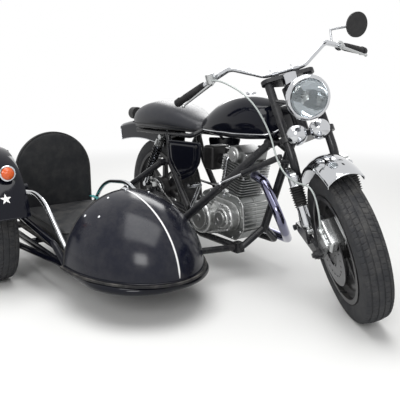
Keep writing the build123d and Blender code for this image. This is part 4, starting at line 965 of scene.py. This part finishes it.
class OUTFIT_OT_nose(bpy.types.Operator):
    """Shape the nose cowl, its rubber edging, pinstripe, snap studs and clamp"""
    bl_idname = "outfit.nose"
    bl_label = "Nose cowl"

    def execute(self, context):
        outer, inner = dome_sheet(), dome_sheet(NOSE_WALL)
        rim = np.stack([outer[-1], inner[-1]])
        feet = [np.stack([outer[:, k], inner[:, k]]) for k in (0, -1)]
        piece("nose.skin", [outer, inner, rim, *feet], "chassis", "cowl", ["nose"], 60)
        b = np.linspace(0.02, np.pi - 0.02, 80)
        arch = np.stack([BODY_Y - 297 * np.cos(b), FLOOR_TOP + 297 * np.sin(b)], 1)
        arch = np.concatenate([np.full((len(arch), 1), NOSE_BACK_X - 1.0), arch], 1)
        piece("nose_edging", [pipe(arch, 6.5, 14)], "chassis", "rubber")
        a = np.linspace(0, np.pi / 2, 90)
        x, y = NOSE_BACK_X + (NOSE_LENGTH + 2) * np.cos(a), (NOSE_RADIUS + 2) * np.sin(a)
        foot = [np.stack([x, BODY_Y + side * y, np.full(len(a), FLOOR_TOP + 2.0)], 1) for side in (1, -1)]
        piece("nose_foot_bead", [pipe(line, 4.0, 10) for line in foot], "chassis", "gloss")
        piece("nose_stripe", [nose_stripe()], "chassis", "white")
        places = ((707, -742), (782, -823), (698, -848), (707, -538), (782, -457), (698, -432))
        piece("nose_studs", [nose_stud(x, y) for x, y in places], "chassis", "chrome")
        y = BODY_Y + 2
        handle = pipe(bent_path([(690, y, 500), (700, y, 513), (664, y, 517)], 6), 3, 10)
        clamp = rounded_box((652, BODY_Y - 11, 490), (694, BODY_Y + 11, 503), 4)
        piece("nose_clamp", [*clamp, handle], "chassis", "chrome")
        return {"FINISHED"}


class OUTFIT_OT_chair_frame(bpy.types.Operator):
    """Finish the chair's floor, loop frame, grab rails, struts and links"""
    bl_idname = "outfit.chair_frame"
    bl_label = "Chair frame"

    def execute(self, context):
        smoothed("chair_floor", "board", bevel=1.5)
        smoothed("chair_frame", "gloss", bevel=1.0)
        flange = [(0, 0), (0, 21), (4, 21), (6, 18), (6, 0)]
        ferrule = [(0, 12), (0, 15.5), (16, 15.5), (18, 14), (18, 12)]
        stub = [(0, 0), (0, 10), (16, 10), (17, 0)]
        for side, node in ((1, "grab_rail_right"), (-1, "grab_rail_left")):
            y = BODY_Y + side * RAIL_OUT
            corners = [(RAIL_BACK_X, y, 262), (-60, y, 404), (272, y, 446), (RAIL_FOOT_X, y, 214)]
            bow = pipe(bent_path(corners, [320, 330], 28), 12, 28)
            plate = lathe(flange, (RAIL_FOOT_X, y, FLOOR_TOP + 0.5), (0, 0, 1), 32)
            collar = lathe(ferrule, (RAIL_FOOT_X - 8, y, 220), (-0.82, 0, 0.57), 32)
            end = lathe(stub, (RAIL_BACK_X, y, 268), (0, side, 0), 24)
            bolts = [screw((RAIL_FOOT_X + x, y, FLOOR_TOP + 6), (0, 0, 1), 4) for x in (-15, 15)]
            piece(f"{node}.bow", [bow, plate, collar, end, *bolts], "chassis", "chrome", [node], sharp=40)
        for node in ("front_strut", "rear_strut", "front_link", "rear_link"):
            smoothed(node, "satin", bevel=1.0)
        return {"FINISHED"}


# Mudguards

def carried_round(line, centre, degrees):
    """Carries (y, distance from the axle) pairs round an axle: x goes with the cosine of the turn, z with its
    sine."""
    turn = np.radians(degrees)[:, None]
    y, r = line[None, :, 0], line[None, :, 1]
    x, z = centre[0] + r * np.cos(turn), centre[2] + r * np.sin(turn)
    return np.stack([x, centre[1] + y + 0 * turn, z], -1)


def guard_sheets(centre, radius, width, lip, start, end, steps=64, crown=14, square=2.0):
    """Mudguard skin and its rolled beads: a crowned strip with side lips carried round part of a circle, its
    inner face a thickness below. The crown falls off with the distance from the middle to a power."""
    half, thick = width / 2, 2.6
    share = np.linspace(-1, 1, 41)
    over = np.stack([share * half, radius - crown * np.abs(share)**square], 1)
    left = np.array([half, radius - crown]) + np.linspace(0, 1, 8)[1:, None] * np.array([0, -lip])
    outer = np.concatenate([(left * (-1, 1))[::-1], over, left])
    slope = np.gradient(outer, axis=0)
    normal = np.stack([slope[:, 1], -slope[:, 0]], 1)
    normal /= np.linalg.norm(normal, axis=1)[:, None]
    inner = outer + normal * thick
    loop = np.concatenate([outer, inner[::-1], outer[:1]])
    turn = np.linspace(start, end, steps)
    rim = np.array([[half - 1.5, radius - crown - lip + 2]])
    skin = [carried_round(loop, centre, turn)]
    edges = [carried_round(rim * (sign, 1), centre, turn)[:, 0] for sign in (-1, 1)]
    for angle in (start, end):
        skin.append(np.concatenate([carried_round(line, centre, [angle]) for line in (outer, inner)]))
        edges.append(carried_round(outer[::2] * (0.995, 1) - (0, 1.5), centre, [angle])[0])
    return skin, [pipe(line, 2.8, 10) for line in edges]


def guard_star(degrees, size):
    """Closed five-pointed plate bent round the side guard's crown: its reach from the middle is the size over
    a triangle wave of the turn, so that it runs out to five points."""
    ring = np.linspace(0, 2 * np.pi, 61)
    wave = np.abs((ring * 5 / np.pi) % 2 - 1)
    reach = size / (1 + 1.62 * (1 - wave))
    share = np.concatenate([np.linspace(0, 1, 6), np.linspace(1, 0, 6)])[:, None]
    height = np.repeat([SIDE_GUARD_RADIUS + 1.3, SIDE_GUARD_RADIUS - 0.5], 6)[:, None]
    along, beside = share * reach * np.cos(ring), share * reach * np.sin(ring)
    angle = math.radians(degrees) + along / (SIDE_GUARD_RADIUS + 0.5)
    x, y, z = SIDE_GUARD_CENTRE
    return np.stack([x + height * np.cos(angle), y - 12 + beside, z + height * np.sin(angle)], -1)


class OUTFIT_OT_guards(bpy.types.Operator):
    """Shape the three mudguards with their rolled edges, the marker lamp, the star and the tail lamp"""
    bl_idname = "outfit.guards"
    bl_label = "Mudguards"

    def execute(self, context):
        front = (WHEELBASE, 0, AXLE_Z["front"])
        skin, beads = guard_sheets(front, 385.5, 137, 13, 66, 150, crown=33, square=2.3)
        piece("front_guard.skin", skin, "steering", "chrome", ["front_guard"], 50)
        piece("front_guard_beads", beads, "steering", "chrome")
        skin, beads = guard_sheets(SIDE_GUARD_CENTRE, SIDE_GUARD_RADIUS, 171, 44, 14, 166, 90, square=3.0)
        piece("side_guard.skin", skin, "chassis", "gloss", ["side_guard"], 50)
        piece("side_guard_beads", beads, "chassis", "gloss")
        rear = (REAR_GUARD_X, 0, REAR_GUARD_TOP - REAR_GUARD_RADIUS)
        skin, beads = guard_sheets(rear, REAR_GUARD_RADIUS - 0.5, 149, 88, 77.4, 102.6, crown=26, square=3.0)
        piece("rear_guard.skin", skin, "chassis", "gloss", ["rear_guard"], 50)
        piece("rear_guard_beads", beads, "chassis", "chrome")
        self.fit_side_lamp()
        piece("guard_star", [guard_star(27.7, 25)], "chassis", "white")
        smoothed("tail_lamp", "plastic", "red", bevel=0.8, choose=lambda at: at[:, 0] < -386.5)
        return {"FINISHED"}

    def fit_side_lamp(self):
        """The lens is half an ellipse turned round the lamp's axis, with a sine's fine rings on it."""
        smoothed("side_lamp", "gloss", bevel=0.8)
        tip, ahead = (411.0, -TRACK + 14, 578.0), (46.0, 0.0, 6.0)
        bezel = [(-3, 27), (-3, 34), (2, 35.5), (7, 35), (9, 32), (8, 28.5), (4, 28), (4, 27), (-3, 27)]
        reach = np.linspace(0, 1, 40)
        lens = np.stack([3 + 17 * np.sqrt(1 - reach**2) + 0.35 * np.sin(reach * 60), 28.5 * reach], 1)[::-1]
        lens = np.concatenate([[(-2, 0), (-2, 28.5)], lens])
        piece("side_lamp.bezel", [lathe(bezel, tip, ahead, 56)], "chassis", "chrome", sharp=45)
        piece("side_lamp.lens", [lathe(lens, tip, ahead, 56)], "chassis", "amber", sharp=60)


# Steering, fork and controls

def fork_shock_bands(points):
    """Finish of each point of a fork shock, from its top eye down: alloy, chrome, rubber, chrome, alloy."""
    along = share_along(points, SHOCK_TOP, SHOCK_FOOT)
    return np.select([along < 0.06, along < 0.19, along < 0.545, along < 0.9], [2, 0, 1, 0], 2)


class OUTFIT_OT_fork(bpy.types.Operator):
    """Finish the fork's tubes, yokes, leading arms and spring struts"""
    bl_idname = "outfit.fork"
    bl_label = "Fork"

    def execute(self, context):
        smoothed("fork_tubes", "satin", bevel=0.8)
        smoothed("fork_yokes", "satin", bevel=2.0)
        smoothed("fork_link", "satin", bevel=1.5)
        for node in ("fork_shock_right", "fork_shock_left"):
            smoothed(node, "chrome", "rubber", "bright_alloy", bevel=0.6, choose=fork_shock_bands)
        folds = np.linspace(0, 1, 121)
        bellows = np.stack([46 + 84 * folds, 28.0 + 3.6 * np.cos(folds * 2 * np.pi * 8) - 2 * folds], 1)
        bellows = np.concatenate([[(46, 20)], bellows, [(130, 20)]])
        slider = [(126, 18), (126, 24), (131, 25), (135, 23), (206, 23), (213, 21), (218, 17), (221, 12)]
        sleeve = [(2, 14), (2, 22), (6, 23.5), (40, 23.5), (45, 26), (48, 24), (48, 18)]
        nut = [(-2, 0), (-2, 15), (2, 15), (3, 12), (12, 12), (14, 9), (15, 0)]
        nuts, boots, bodies = [], [], []
        for sign in (-1, 1):
            top, run = SHOCK_TOP + (0, sign * LINK_Y, 0), SHOCK_FOOT - SHOCK_TOP
            boots.append(lathe(bellows, top, run, 36))
            bodies += [lathe(slider, top, run, 36), lathe(sleeve, top, run, 36)]
            nuts += [lathe(nut, (x, sign * 125, z), (0, sign, 0), 6) for x, z in ((1172, 342), (1368, 352))]
        piece("fork_link_nuts", nuts, "steering", "bright_alloy", sharp=25)
        piece("strut_boots", boots, "steering", "rubber", sharp=70)
        piece("strut_bodies", bodies, "steering", "chrome", sharp=35)
        smoothed("damper_body", "satin", bevel=0.6)
        smoothed("damper_rod", "chrome", bevel=0.6)
        return {"FINISHED"}


# Distance ahead of the middle of the lamp or the horn, and radius
LAMP_SHELL = [(-6, 0), (-5, 16), (0, 34), (14, 56), (34, 72), (56, 80), (72, 83), (74, 83), (74, 78),
              (50, 74), (10, 40), (6, 0)]
LAMP_RIM = [(68, 80), (68, 86), (74, 90), (84, 91), (94, 88), (99, 82), (98, 77), (94, 75), (88, 76),
            (84, 79), (76, 79), (68, 80)]
LAMP_BOWL = [(22, 0), (22, 12), (30, 30), (44, 48), (62, 62), (80, 73), (90, 76.5), (90, 78), (60, 66),
             (24, 30), (19, 0)]
LAMP_GLASS = [(92, 76), (98, 72), (103, 60), (106.5, 40), (108, 20), (108.4, 0), (105.6, 0), (105.2, 20),
              (103.8, 40), (100.4, 59), (96, 70), (90, 76), (92, 76)]
LAMP_BULB = [(26, 0), (26, 9), (46, 9), (52, 12), (60, 12), (68, 8), (72, 0)]
HORN_CAP = [(-1, 0), (-1, 42), (3, 44), (7, 44), (9, 42), (16, 38), (24, 30.5), (30, 20.5), (33.5, 10),
            (34.5, 0)]


class OUTFIT_OT_lamp(bpy.types.Operator):
    """Shape the headlamp's shell, rim, reflector, bulb and fluted glass, and the twin horns"""
    bl_idname = "outfit.lamp"
    bl_label = "Headlamp and horns"

    def execute(self, context):
        at, ahead = (1226.0, 0.0, LAMP_Z + 1.0), (1.0, 0.0, 0.0)
        shell = lathe(LAMP_SHELL, at, ahead, 64)
        piece("headlamp.shell", [shell], "steering", "chrome", ["headlamp"], 50)
        for name, profile, around, finish_name in (
            ("rim", LAMP_RIM, 72, "chrome"),
            ("reflector", LAMP_BOWL, 64, "mirror"),
            ("glass", LAMP_GLASS, 64, "glass"),
            ("bulb", LAMP_BULB, 24, "bright_alloy"),
        ):
            piece(f"headlamp.{name}", [lathe(profile, at, ahead, around)], "steering", finish_name, sharp=50)
        ears = []
        for sign in (-1, 1):
            corners = [(1160, sign * 90, LAMP_Z - 4), (1212, sign * 88, LAMP_Z), (1280, sign * 80, LAMP_Z)]
            ears.append(pipe(bent_path(corners, 20), 8, 12))
        piece("headlamp.ears", ears, "steering", "satin")
        smoothed("horns", "chrome")
        caps = [lathe(HORN_CAP, (1215, sign * 50, 762), ahead, 56) for sign in (-1, 1)]
        piece("horn_caps", caps, "steering", "chrome", sharp=50)
        return {"FINISHED"}


def grip_sleeve(sign):
    """Ribbed outer half of a grip: its radius steps up wherever a sine along it is above zero."""
    inner_end, outer_end = np.array([966.0, sign * 222, 1082]), np.array([760.0, sign * 466, 978])
    length = np.linalg.norm(outer_end - inner_end)
    reach = np.arange(length * 0.5 + 14, length - 32, 1.5)
    swell = 17.7 + 0.9 * (np.sin(reach * 2 * np.pi / 6) > 0)
    profile = [(reach[0], 17), *zip(reach, swell), (reach[-1], 17)]
    return lathe(profile, inner_end, outer_end - inner_end, 28)


# From the fluid tank on the bar, down behind the lamp, over the right shock and down to the caliper
HOSE_ROUTE = [(934, -314, 1048), (1010, -290, 1056), (1120, -190, 956), (1160, -148, 800), (1212, -156, 660),
              (1330, -138, 604), (1466, -76, 602), (1506, -108, 448)]


class OUTFIT_OT_controls(bpy.types.Operator):
    """Finish the handlebar, grips, levers, mirror and speedometer, and hang the front brake's hose"""
    bl_idname = "outfit.controls"
    bl_label = "Handlebar and controls"

    def execute(self, context):
        smoothed("handlebar", "chrome", bevel=0.6)
        smoothed("grips", "rubber", bevel=0.8)
        piece("grip_ribs", [grip_sleeve(sign) for sign in (-1, 1)], "steering", "rubber", sharp=25)
        smoothed("levers", "bright_alloy", bevel=0.8)
        smoothed("mirror_left", "chrome", "plastic", bevel=0.8,
                 choose=lambda at: np.linalg.norm(at - (1016, 360, 1122), axis=1) < 60)
        smoothed("speedometer", "chrome", bevel=1.0)
        self.hang_hose(context)
        return {"FINISHED"}

    def hang_hose(self, context):
        """One smooth curve with round section through the space between the points of the route."""
        route = placed(HOSE_ROUTE, "steering")
        hose = bpy.data.curves.new("brake_hose", "CURVE")
        hose.dimensions = "3D"
        line = hose.splines.new("NURBS")
        line.points.add(len(route) - 1)
        line.points.foreach_set("co", np.c_[route, np.ones(len(route))].ravel())
        line.order_u = 3
        line.use_endpoint_u = True
        line.resolution_u = 16
        hose.bevel_depth = LINE_DIAMETER / 2
        hose.bevel_resolution = 4
        hose.use_fill_caps = True
        hose.materials.append(FINISHES["hose"])
        thing = bpy.data.objects.new("brake_hose", hose)
        context.scene.collection.objects.link(thing)
        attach(thing, "steering")
        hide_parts("brake_line")


# Engine and exhaust

CASE_OUTLINE = np.array([(500, 236), (560, 196), (792, 190), (846, 256), (838, 372), (800, 408), (610, 430),
                         (516, 396), (484, 320), (500, 236)], float)
CASE_SCREWS = ((530, 352), (566, 384), (622, 400), (690, 390), (744, 372), (800, 352), (812, 300), (790, 252),
               (716, 232), (560, 214))
HEAD_SCREWS = ((-62, -74, 356), (70, -74, 356), (-62, -74, 322), (70, -74, 322), (-84, -78, 240),
               (84, -78, 240))
OIL_FEED_CASE = ((700, -92, 404), (724, -106, 430))
OIL_FEED_HEAD = ((-30, -100, 140), (-34, -100, 300), (-34, -74, 336))


def covers_gasket():
    """Closed line round the two right-hand covers: at each turn the point of the circle that reaches further
    out, evened and softened where one circle gives way to the other."""
    near, far = circle((610, 290), 99.5, 121), circle((746, 306), 71.5, 121)
    wider = ((far - near) * circle((0, 0), 1, 121)).sum(1) > 0
    return softened(evened(np.where(wider[:, None], far, near), 161), 2)


def case_ribs():
    """Cooling ribs across the front of the crankcase, which follow its outline, and two upright ones beside
    them."""
    ribs = []
    for z in np.arange(236, 388, 20):
        front = np.interp(z, (190, 256, 372, 408), (792, 846, 838, 800)) - 14
        ribs += rounded_box((front, -80, z), (front + 24, 80, z + 6), 2.5, 5)
    for x in (826, 836):
        ribs += rounded_box((x, -91, 262), (x + 4, -84, 366), 1.5, 4)
    return ribs


class OUTFIT_OT_engine(bpy.types.Operator):
    """Finish the crankcase, finned barrel and head, carburettor, pipes and pedals"""
    bl_idname = "outfit.engine"
    bl_label = "Engine and exhaust"

    def execute(self, context):
        smoothed("crankcase", "alloy", "cast", bevel=2.5, choose=lambda at: at[:, 1] < -100)
        rim = softened(evened(CASE_OUTLINE, 181), 6)
        seams = [pipe(upright(rim, -86.0), 4.5, 10), pipe(upright(rim, 0.0), 3.0, 8),
                 pipe(upright(covers_gasket(), -92.0), 4.0, 10)]
        piece("crankcase.trim", [*seams, *case_ribs()], "chassis", "cast", sharp=45)
        inside = rim[4:-1:15] * 0.955 + rim.mean(0) * 0.045
        bolts = [screw((x, -88, z), RIGHT, 6) for x, z in inside]
        piece("crankcase_bolts", bolts, "chassis", "bright_alloy", sharp=30)
        smoothed("barrel", "fin_alloy", bevel=0.6)
        smoothed("cylinder_head", "fin_alloy", bevel=0.8)
        self.dress_covers()
        self.pipe_oil()
        smoothed("carburettor", "plastic", bevel=1.5)
        smoothed("exhaust_header", "blued")
        smoothed("silencer", "chrome", bevel=1.0)
        smoothed("kickstarter", "chrome", bevel=0.8)
        smoothed("footrests", "rubber", bevel=0.8)
        smoothed("chain", "chain")
        return {"FINISHED"}

    def dress_covers(self):
        """Turned rings and caps on the right-hand covers, and the screws round and between them."""
        rocker_cap, filler_cap = leaned((4, -95, 340)), (660, CASE_FACE_Y + 1.5, 380)
        rings = [lathe(profile, centre, RIGHT, around) for profile, centre, around in (
            ([(-2, 58), (2.5, 59), (3.5, 62), (2.5, 65), (-2, 66)], CLUTCH_COVER, 64),
            ([(-2, 0), (-2, 17), (3, 17), (5, 14), (5, 0)], CLUTCH_COVER, 32),
            ([(-2, 0), (-2, 36), (3, 36), (6, 32), (6, 12), (4, 10), (4, 0)], TIMING_COVER, 48),
            ([(-2, 0), (-2, 38), (4, 38), (8, 33), (8, 20), (12, 17), (13, 0)], rocker_cap, 48),
            ([(-2, 0), (-2, 15), (6, 15), (9, 11), (9, 0)], filler_cap, 24),
        )]
        piece("cover_rings", rings, "chassis", "cast", sharp=30)
        screws = [screw((x, CASE_FACE_Y, z), RIGHT, 6) for x, z in CASE_SCREWS]
        screws += screws_round(np.add(CLUTCH_COVER, (0, 0.5, 0)), RIGHT, 77, 8, 4.5, 0.3)
        screws += screws_round(np.add(TIMING_COVER, (0, 0.5, 0)), RIGHT, 46, 6, 4, 0.2)
        screws += [screw(leaned(at), RIGHT, 7) for at in HEAD_SCREWS]
        piece("engine_screws", screws, "chassis", "bright_alloy", sharp=30)

    def pipe_oil(self):
        """Feed pipe from the crankcase up beside the barrel to the head, and the spark plug's rubber cap."""
        feed = bent_path([*OIL_FEED_CASE, *leaned(OIL_FEED_HEAD)], [14, 20, 14], 5)
        union = [(-4, 0), (-4, 10), (5, 10), (7, 7), (7, 0)]
        unions = [lathe(union, end, RIGHT, 6) for end in (feed[0], feed[-1])]
        piece("oil_feed_pipe", [pipe(feed, 4.2, 12), *unions], "chassis", "chrome")
        plug = [(0, 0), (0, 11), (7, 11), (8, 7), (26, 7), (27, 10.5), (52, 10.5), (56, 8), (56, 0)]
        cap = lathe(plug, leaned((46, -66, 268)), (0.35, -0.9, 0.3), 20)
        piece("plug_cap", [cap], "chassis", "rubber")


# Frame and side covers

COVER_OUTLINE = np.array([(252, 658), (572, 664), (562, 560), (500, 486), (388, 438), (318, 494), (270, 545),
                          (252, 658)], float)


def rear_shock_bands(top, foot):
    """Chooser of a rear shock's finishes: alloy for the cover at the top, chrome for the rod and the foot,
    and satin for the coils, which stand out from the line from top to foot."""
    def bands(points):
        along = share_along(points, top, foot)
        off = np.linalg.norm(points - top - along[:, None] * (foot - top), axis=1)
        return np.select([along < 0.14, off < 15, along > 0.84], [1, 2, 2], 0)
    return bands


class OUTFIT_OT_frame(bpy.types.Operator):
    """Finish the motorcycle's frame, swinging arm, spring struts and side covers"""
    bl_idname = "outfit.frame"
    bl_label = "Frame"

    def execute(self, context):
        smoothed("frame", "satin", bevel=0.8)
        smoothed("swingarm", "satin", bevel=0.8)
        for sign, node in ((-1, "rear_shock_right"), (1, "rear_shock_left")):
            bands = rear_shock_bands(np.array([172.0, sign * 134, 664]), np.array([-14.0, sign * 134, 368]))
            smoothed(node, "satin", "bright_alloy", "chrome", bevel=0.5, choose=bands)
        outline = softened(evened(COVER_OUTLINE, 161), 9)
        panel, raised = pad(outline, 137.5, 150, 0.0, 0.07), pad(shrunk(outline, 0.8), 146, 155, 2.0, 0.16)
        faces = [np.stack([grid[..., 0], -grid[..., 2], grid[..., 1]], -1) for grid in (panel, raised)]
        piece("side_cover_right.panel", faces, "chassis", "gloss", ["side_cover_right"], 40)
        knob = [(-2, 0), (-2, 9), (4, 9), (6, 7), (6, 0)]
        knobs = [lathe(knob, (x, -150, z), RIGHT, 20) for x, z in ((276, 636), (540, 640), (390, 458))]
        piece("side_cover_knobs", knobs, "chassis", "rubber")
        smoothed("side_cover_left", "gloss", bevel=2.0)
        return {"FINISHED"}


# Stage

CAMERA_AT = (2716, -1715, 946)
CAMERA_YAW = 143.91
CAMERA_PITCH = -12.32
CAMERA_ROLL = -0.23
SENSOR_MM = 36
PHOTO_WIDTH_PX = 400
FOCAL_PX = 520
FLOOR_REACH = 30.0


def white_rays(tree):
    """How far a ray comes straight from the camera, a mirror or a lens: 1 for those, 0 for light that falls
    on a surface."""
    path = add_node(tree, "ShaderNodeLightPath")
    first = add_node(tree, "ShaderNodeMath", operation="MAXIMUM")
    second = add_node(tree, "ShaderNodeMath", operation="MAXIMUM")
    tree.links.new(path.outputs["Is Camera Ray"], first.inputs[0])
    tree.links.new(path.outputs["Is Glossy Ray"], first.inputs[1])
    tree.links.new(first.outputs[0], second.inputs[0])
    tree.links.new(path.outputs["Is Transmission Ray"], second.inputs[1])
    return second.outputs[0]


def pale_floor_material(floor_colour):
    """Matt floor round the object that fades with the distance from its middle into plain white."""
    material, tree, shader = new_material("pale floor")
    shader.inputs["Base Color"].default_value = (*floor_colour, 1)
    shader.inputs["Roughness"].default_value = 0.9
    shader.inputs["Specular IOR Level"].default_value = 0.1
    far = add_node(tree, "ShaderNodeEmission", {"Color": (1, 1, 1, 1)})
    place = add_node(tree, "ShaderNodeTexCoord")
    away = add_node(tree, "ShaderNodeVectorMath", operation="LENGTH")
    fade = add_node(tree, "ShaderNodeMapRange", {"From Min": 2.2, "From Max": 6.0},
                    interpolation_type="SMOOTHSTEP")
    blend = add_node(tree, "ShaderNodeMixShader")
    tree.links.new(place.outputs["Object"], away.inputs[0])
    tree.links.new(away.outputs["Value"], fade.inputs["Value"])
    tree.links.new(fade.outputs[0], blend.inputs[0])
    tree.links.new(shader.outputs[0], blend.inputs[1])
    tree.links.new(far.outputs[0], blend.inputs[2])
    tree.links.new(blend.outputs[0], tree.nodes["Material Output"].inputs["Surface"])
    return material


class OUTFIT_OT_stage(bpy.types.Operator):
    """Lay the pale floor, hang the soft lamps and set the camera"""
    bl_idname = "outfit.stage"
    bl_label = "Stage"

    def execute(self, context):
        stage = context.scene.outfit_stage
        self.lay_floor(context, stage)
        self.fill_sky(context, stage)
        self.hang_lamps(context, stage)
        self.set_camera(context)
        context.scene.view_settings.view_transform = "Standard"
        return {"FINISHED"}

    def lay_floor(self, context, stage):
        """One flat square under the object."""
        mesh = bpy.data.meshes.new("floor")
        corners = [(x * FLOOR_REACH, y * FLOOR_REACH, 0) for x, y in ((-1, -1), (1, -1), (1, 1), (-1, 1))]
        mesh.from_pydata(corners, [], [(0, 1, 2, 3)])
        mesh.materials.append(pale_floor_material(stage.floor_colour))
        floor = bpy.data.objects.new("floor", mesh)
        context.scene.collection.objects.link(floor)

    def fill_sky(self, context, stage):
        """The sky is white where it is seen, straight or in a mirror, and dimmer where it lights things."""
        world = bpy.data.worlds.new("studio")
        context.scene.world = world
        world.use_nodes = True
        tree = world.node_tree
        sky = tree.nodes["Background"]
        sky.inputs["Color"].default_value = (1, 1, 1, 1)
        level = add_node(tree, "ShaderNodeMix", data_type="FLOAT")
        level.inputs["A"].default_value = stage.fill_level
        level.inputs["B"].default_value = 1.0
        tree.links.new(white_rays(tree), level.inputs["Factor"])
        tree.links.new(level.outputs["Result"], sky.inputs["Strength"])

    def hang_lamps(self, context, stage):
        """Three square lamps, each turned to the point that it lights."""
        for name, at, aim, size, power in (
            ("top", (0.6, -0.6, 3.4), (0.1, 0.0, 0.4), 2.6, stage.top_power),
            ("key", (3.2, -3.4, 2.6), (0.2, -0.1, 0.5), 1.6, stage.key_power),
            ("rim", (-3.0, 2.6, 2.6), (0.0, 0.0, 0.5), 2.0, stage.key_power * 0.7),
        ):
            lamp = bpy.data.lights.new(name, "AREA")
            lamp.size = size
            lamp.energy = power
            holder = bpy.data.objects.new(name, lamp)
            context.scene.collection.objects.link(holder)
            holder.location = at
            holder.rotation_mode = "QUATERNION"
            holder.rotation_quaternion = (Vector(aim) - Vector(at)).to_track_quat("-Z", "Y")

    def set_camera(self, context):
        """The camera as it was solved from the photograph."""
        lens = bpy.data.cameras.new("camera")
        lens.sensor_width = SENSOR_MM
        lens.lens = SENSOR_MM * FOCAL_PX / PHOTO_WIDTH_PX
        lens.clip_end = 200
        camera = bpy.data.objects.new("camera", lens)
        context.scene.collection.objects.link(camera)
        yaw, pitch, roll = (math.radians(angle) for angle in (CAMERA_YAW, CAMERA_PITCH, CAMERA_ROLL))
        look = Vector((math.cos(yaw) * math.cos(pitch), math.sin(yaw) * math.cos(pitch), math.sin(pitch)))
        camera.location = placed(CAMERA_AT, "chassis")
        camera.rotation_mode = "QUATERNION"
        camera.rotation_quaternion = look.to_track_quat("-Z", "Y") @ Quaternion((0, 0, 1), roll)
        context.scene.camera = camera


# Settings and panel

def colour_prop(name, about, default):
    """Setting for a colour, shown with the colour picker."""
    return bpy.props.FloatVectorProperty(
        name=name, description=about, subtype="COLOR", size=3, min=0, max=1, default=default)


def length_prop(name, about, default, longest):
    """Setting for a length in metres."""
    return bpy.props.FloatProperty(
        name=name, description=about, default=default, min=0, max=longest, precision=5, unit="LENGTH")


def power_prop(name, about, default):
    """Setting for a lamp's power in watts."""
    return bpy.props.FloatProperty(
        name=name, description=about, default=default, min=0, max=1000, unit="POWER")


class OutfitPaint(bpy.types.PropertyGroup):
    # The blue tint of the gloss black is painted reflection of the sky, not the paint's own colour
    gloss_black_sky_tinted: colour_prop("Gloss black", "Paint of tank and mudguards", (0.0035, 0.004, 0.008))
    # The blue tint of the cowl black is painted reflection of the sky, not the paint's own colour
    cowl_black_sky_tinted: colour_prop("Cowl black", "Paint of the nose cowl", (0.005, 0.006, 0.013))
    satin_colour: colour_prop("Satin black", "Paint of the frame tubes and struts", (0.009, 0.0095, 0.012))


class OutfitMetal(bpy.types.PropertyGroup):
    chrome_colour: colour_prop("Chrome", "Plating of the bars, lamp and guard", (0.56, 0.57, 0.59))
    alloy_colour: colour_prop("Cast aluminium", "Crankcase and covers", (0.3, 0.31, 0.305))


class OutfitSoft(bpy.types.PropertyGroup):
    tyre_colour: colour_prop("Tyre rubber", "Tread and walls", (0.03, 0.031, 0.034))
    vinyl_colour: colour_prop("Seat vinyl", "Cover of the rider's seat", (0.011, 0.012, 0.017))
    grain_depth: length_prop("Vinyl grain", "Depth of the covers' grain", 0.0002, 0.002)
    tread_depth: length_prop("Tread depth", "Depth of the tyres' grooves", 0.0038, 0.01)
    cushion_crown: length_prop("Cushion crown", "How far the cushion stands up in its middle", 0.008, 0.03)


class OutfitStage(bpy.types.PropertyGroup):
    floor_colour: colour_prop("Floor", "Pale studio floor", (0.8, 0.8, 0.79))
    fill_level: bpy.props.FloatProperty(
        name="Fill level", description="Even light from all round", default=0.55, min=0, max=2)
    top_power: power_prop("Top lamp", "Power of the lamp overhead", 90)
    key_power: power_prop("Key lamp", "Power of the lamp beside the camera", 80)


STEPS = (
    OUTFIT_OT_stage, OUTFIT_OT_tyres, OUTFIT_OT_wheels, OUTFIT_OT_tank, OUTFIT_OT_seat,
    OUTFIT_OT_chair_pads, OUTFIT_OT_nose, OUTFIT_OT_chair_frame, OUTFIT_OT_guards, OUTFIT_OT_fork,
    OUTFIT_OT_lamp, OUTFIT_OT_controls, OUTFIT_OT_engine, OUTFIT_OT_frame,
)
SETTINGS = {
    "outfit_paint": OutfitPaint,
    "outfit_metal": OutfitMetal,
    "outfit_soft": OutfitSoft,
    "outfit_stage": OutfitStage,
}


class OUTFIT_PT_panel(bpy.types.Panel):
    """Settings and building steps of the outfit"""
    bl_idname = "OUTFIT_PT_panel"
    bl_label = "Sidecar outfit"
    bl_space_type = "VIEW_3D"
    bl_region_type = "UI"
    bl_category = "Outfit"

    def draw(self, context):
        for key, group in SETTINGS.items():
            box = self.layout.box()
            for name in group.__annotations__:
                box.prop(getattr(context.scene, key), name)
        for step in STEPS:
            self.layout.operator(step.bl_idname)


def register():
    for kind in (*SETTINGS.values(), *STEPS, OUTFIT_PT_panel):
        bpy.utils.register_class(kind)
    for key, group in SETTINGS.items():
        setattr(bpy.types.Scene, key, bpy.props.PointerProperty(type=group))


def unregister():
    for key in SETTINGS:
        delattr(bpy.types.Scene, key)
    for kind in (OUTFIT_PT_panel, *reversed(STEPS), *SETTINGS.values()):
        bpy.utils.unregister_class(kind)


def main():
    """Builds the whole outfit."""
    register()
    mix_finishes()
    bpy.ops.outfit.stage()
    bpy.ops.outfit.tyres()
    bpy.ops.outfit.wheels()
    bpy.ops.outfit.tank()
    bpy.ops.outfit.seat()
    bpy.ops.outfit.chair_pads()
    bpy.ops.outfit.nose()
    bpy.ops.outfit.chair_frame()
    bpy.ops.outfit.guards()
    bpy.ops.outfit.fork()
    bpy.ops.outfit.lamp()
    bpy.ops.outfit.controls()
    bpy.ops.outfit.engine()
    bpy.ops.outfit.frame()


if __name__ == "__main__":
    main()
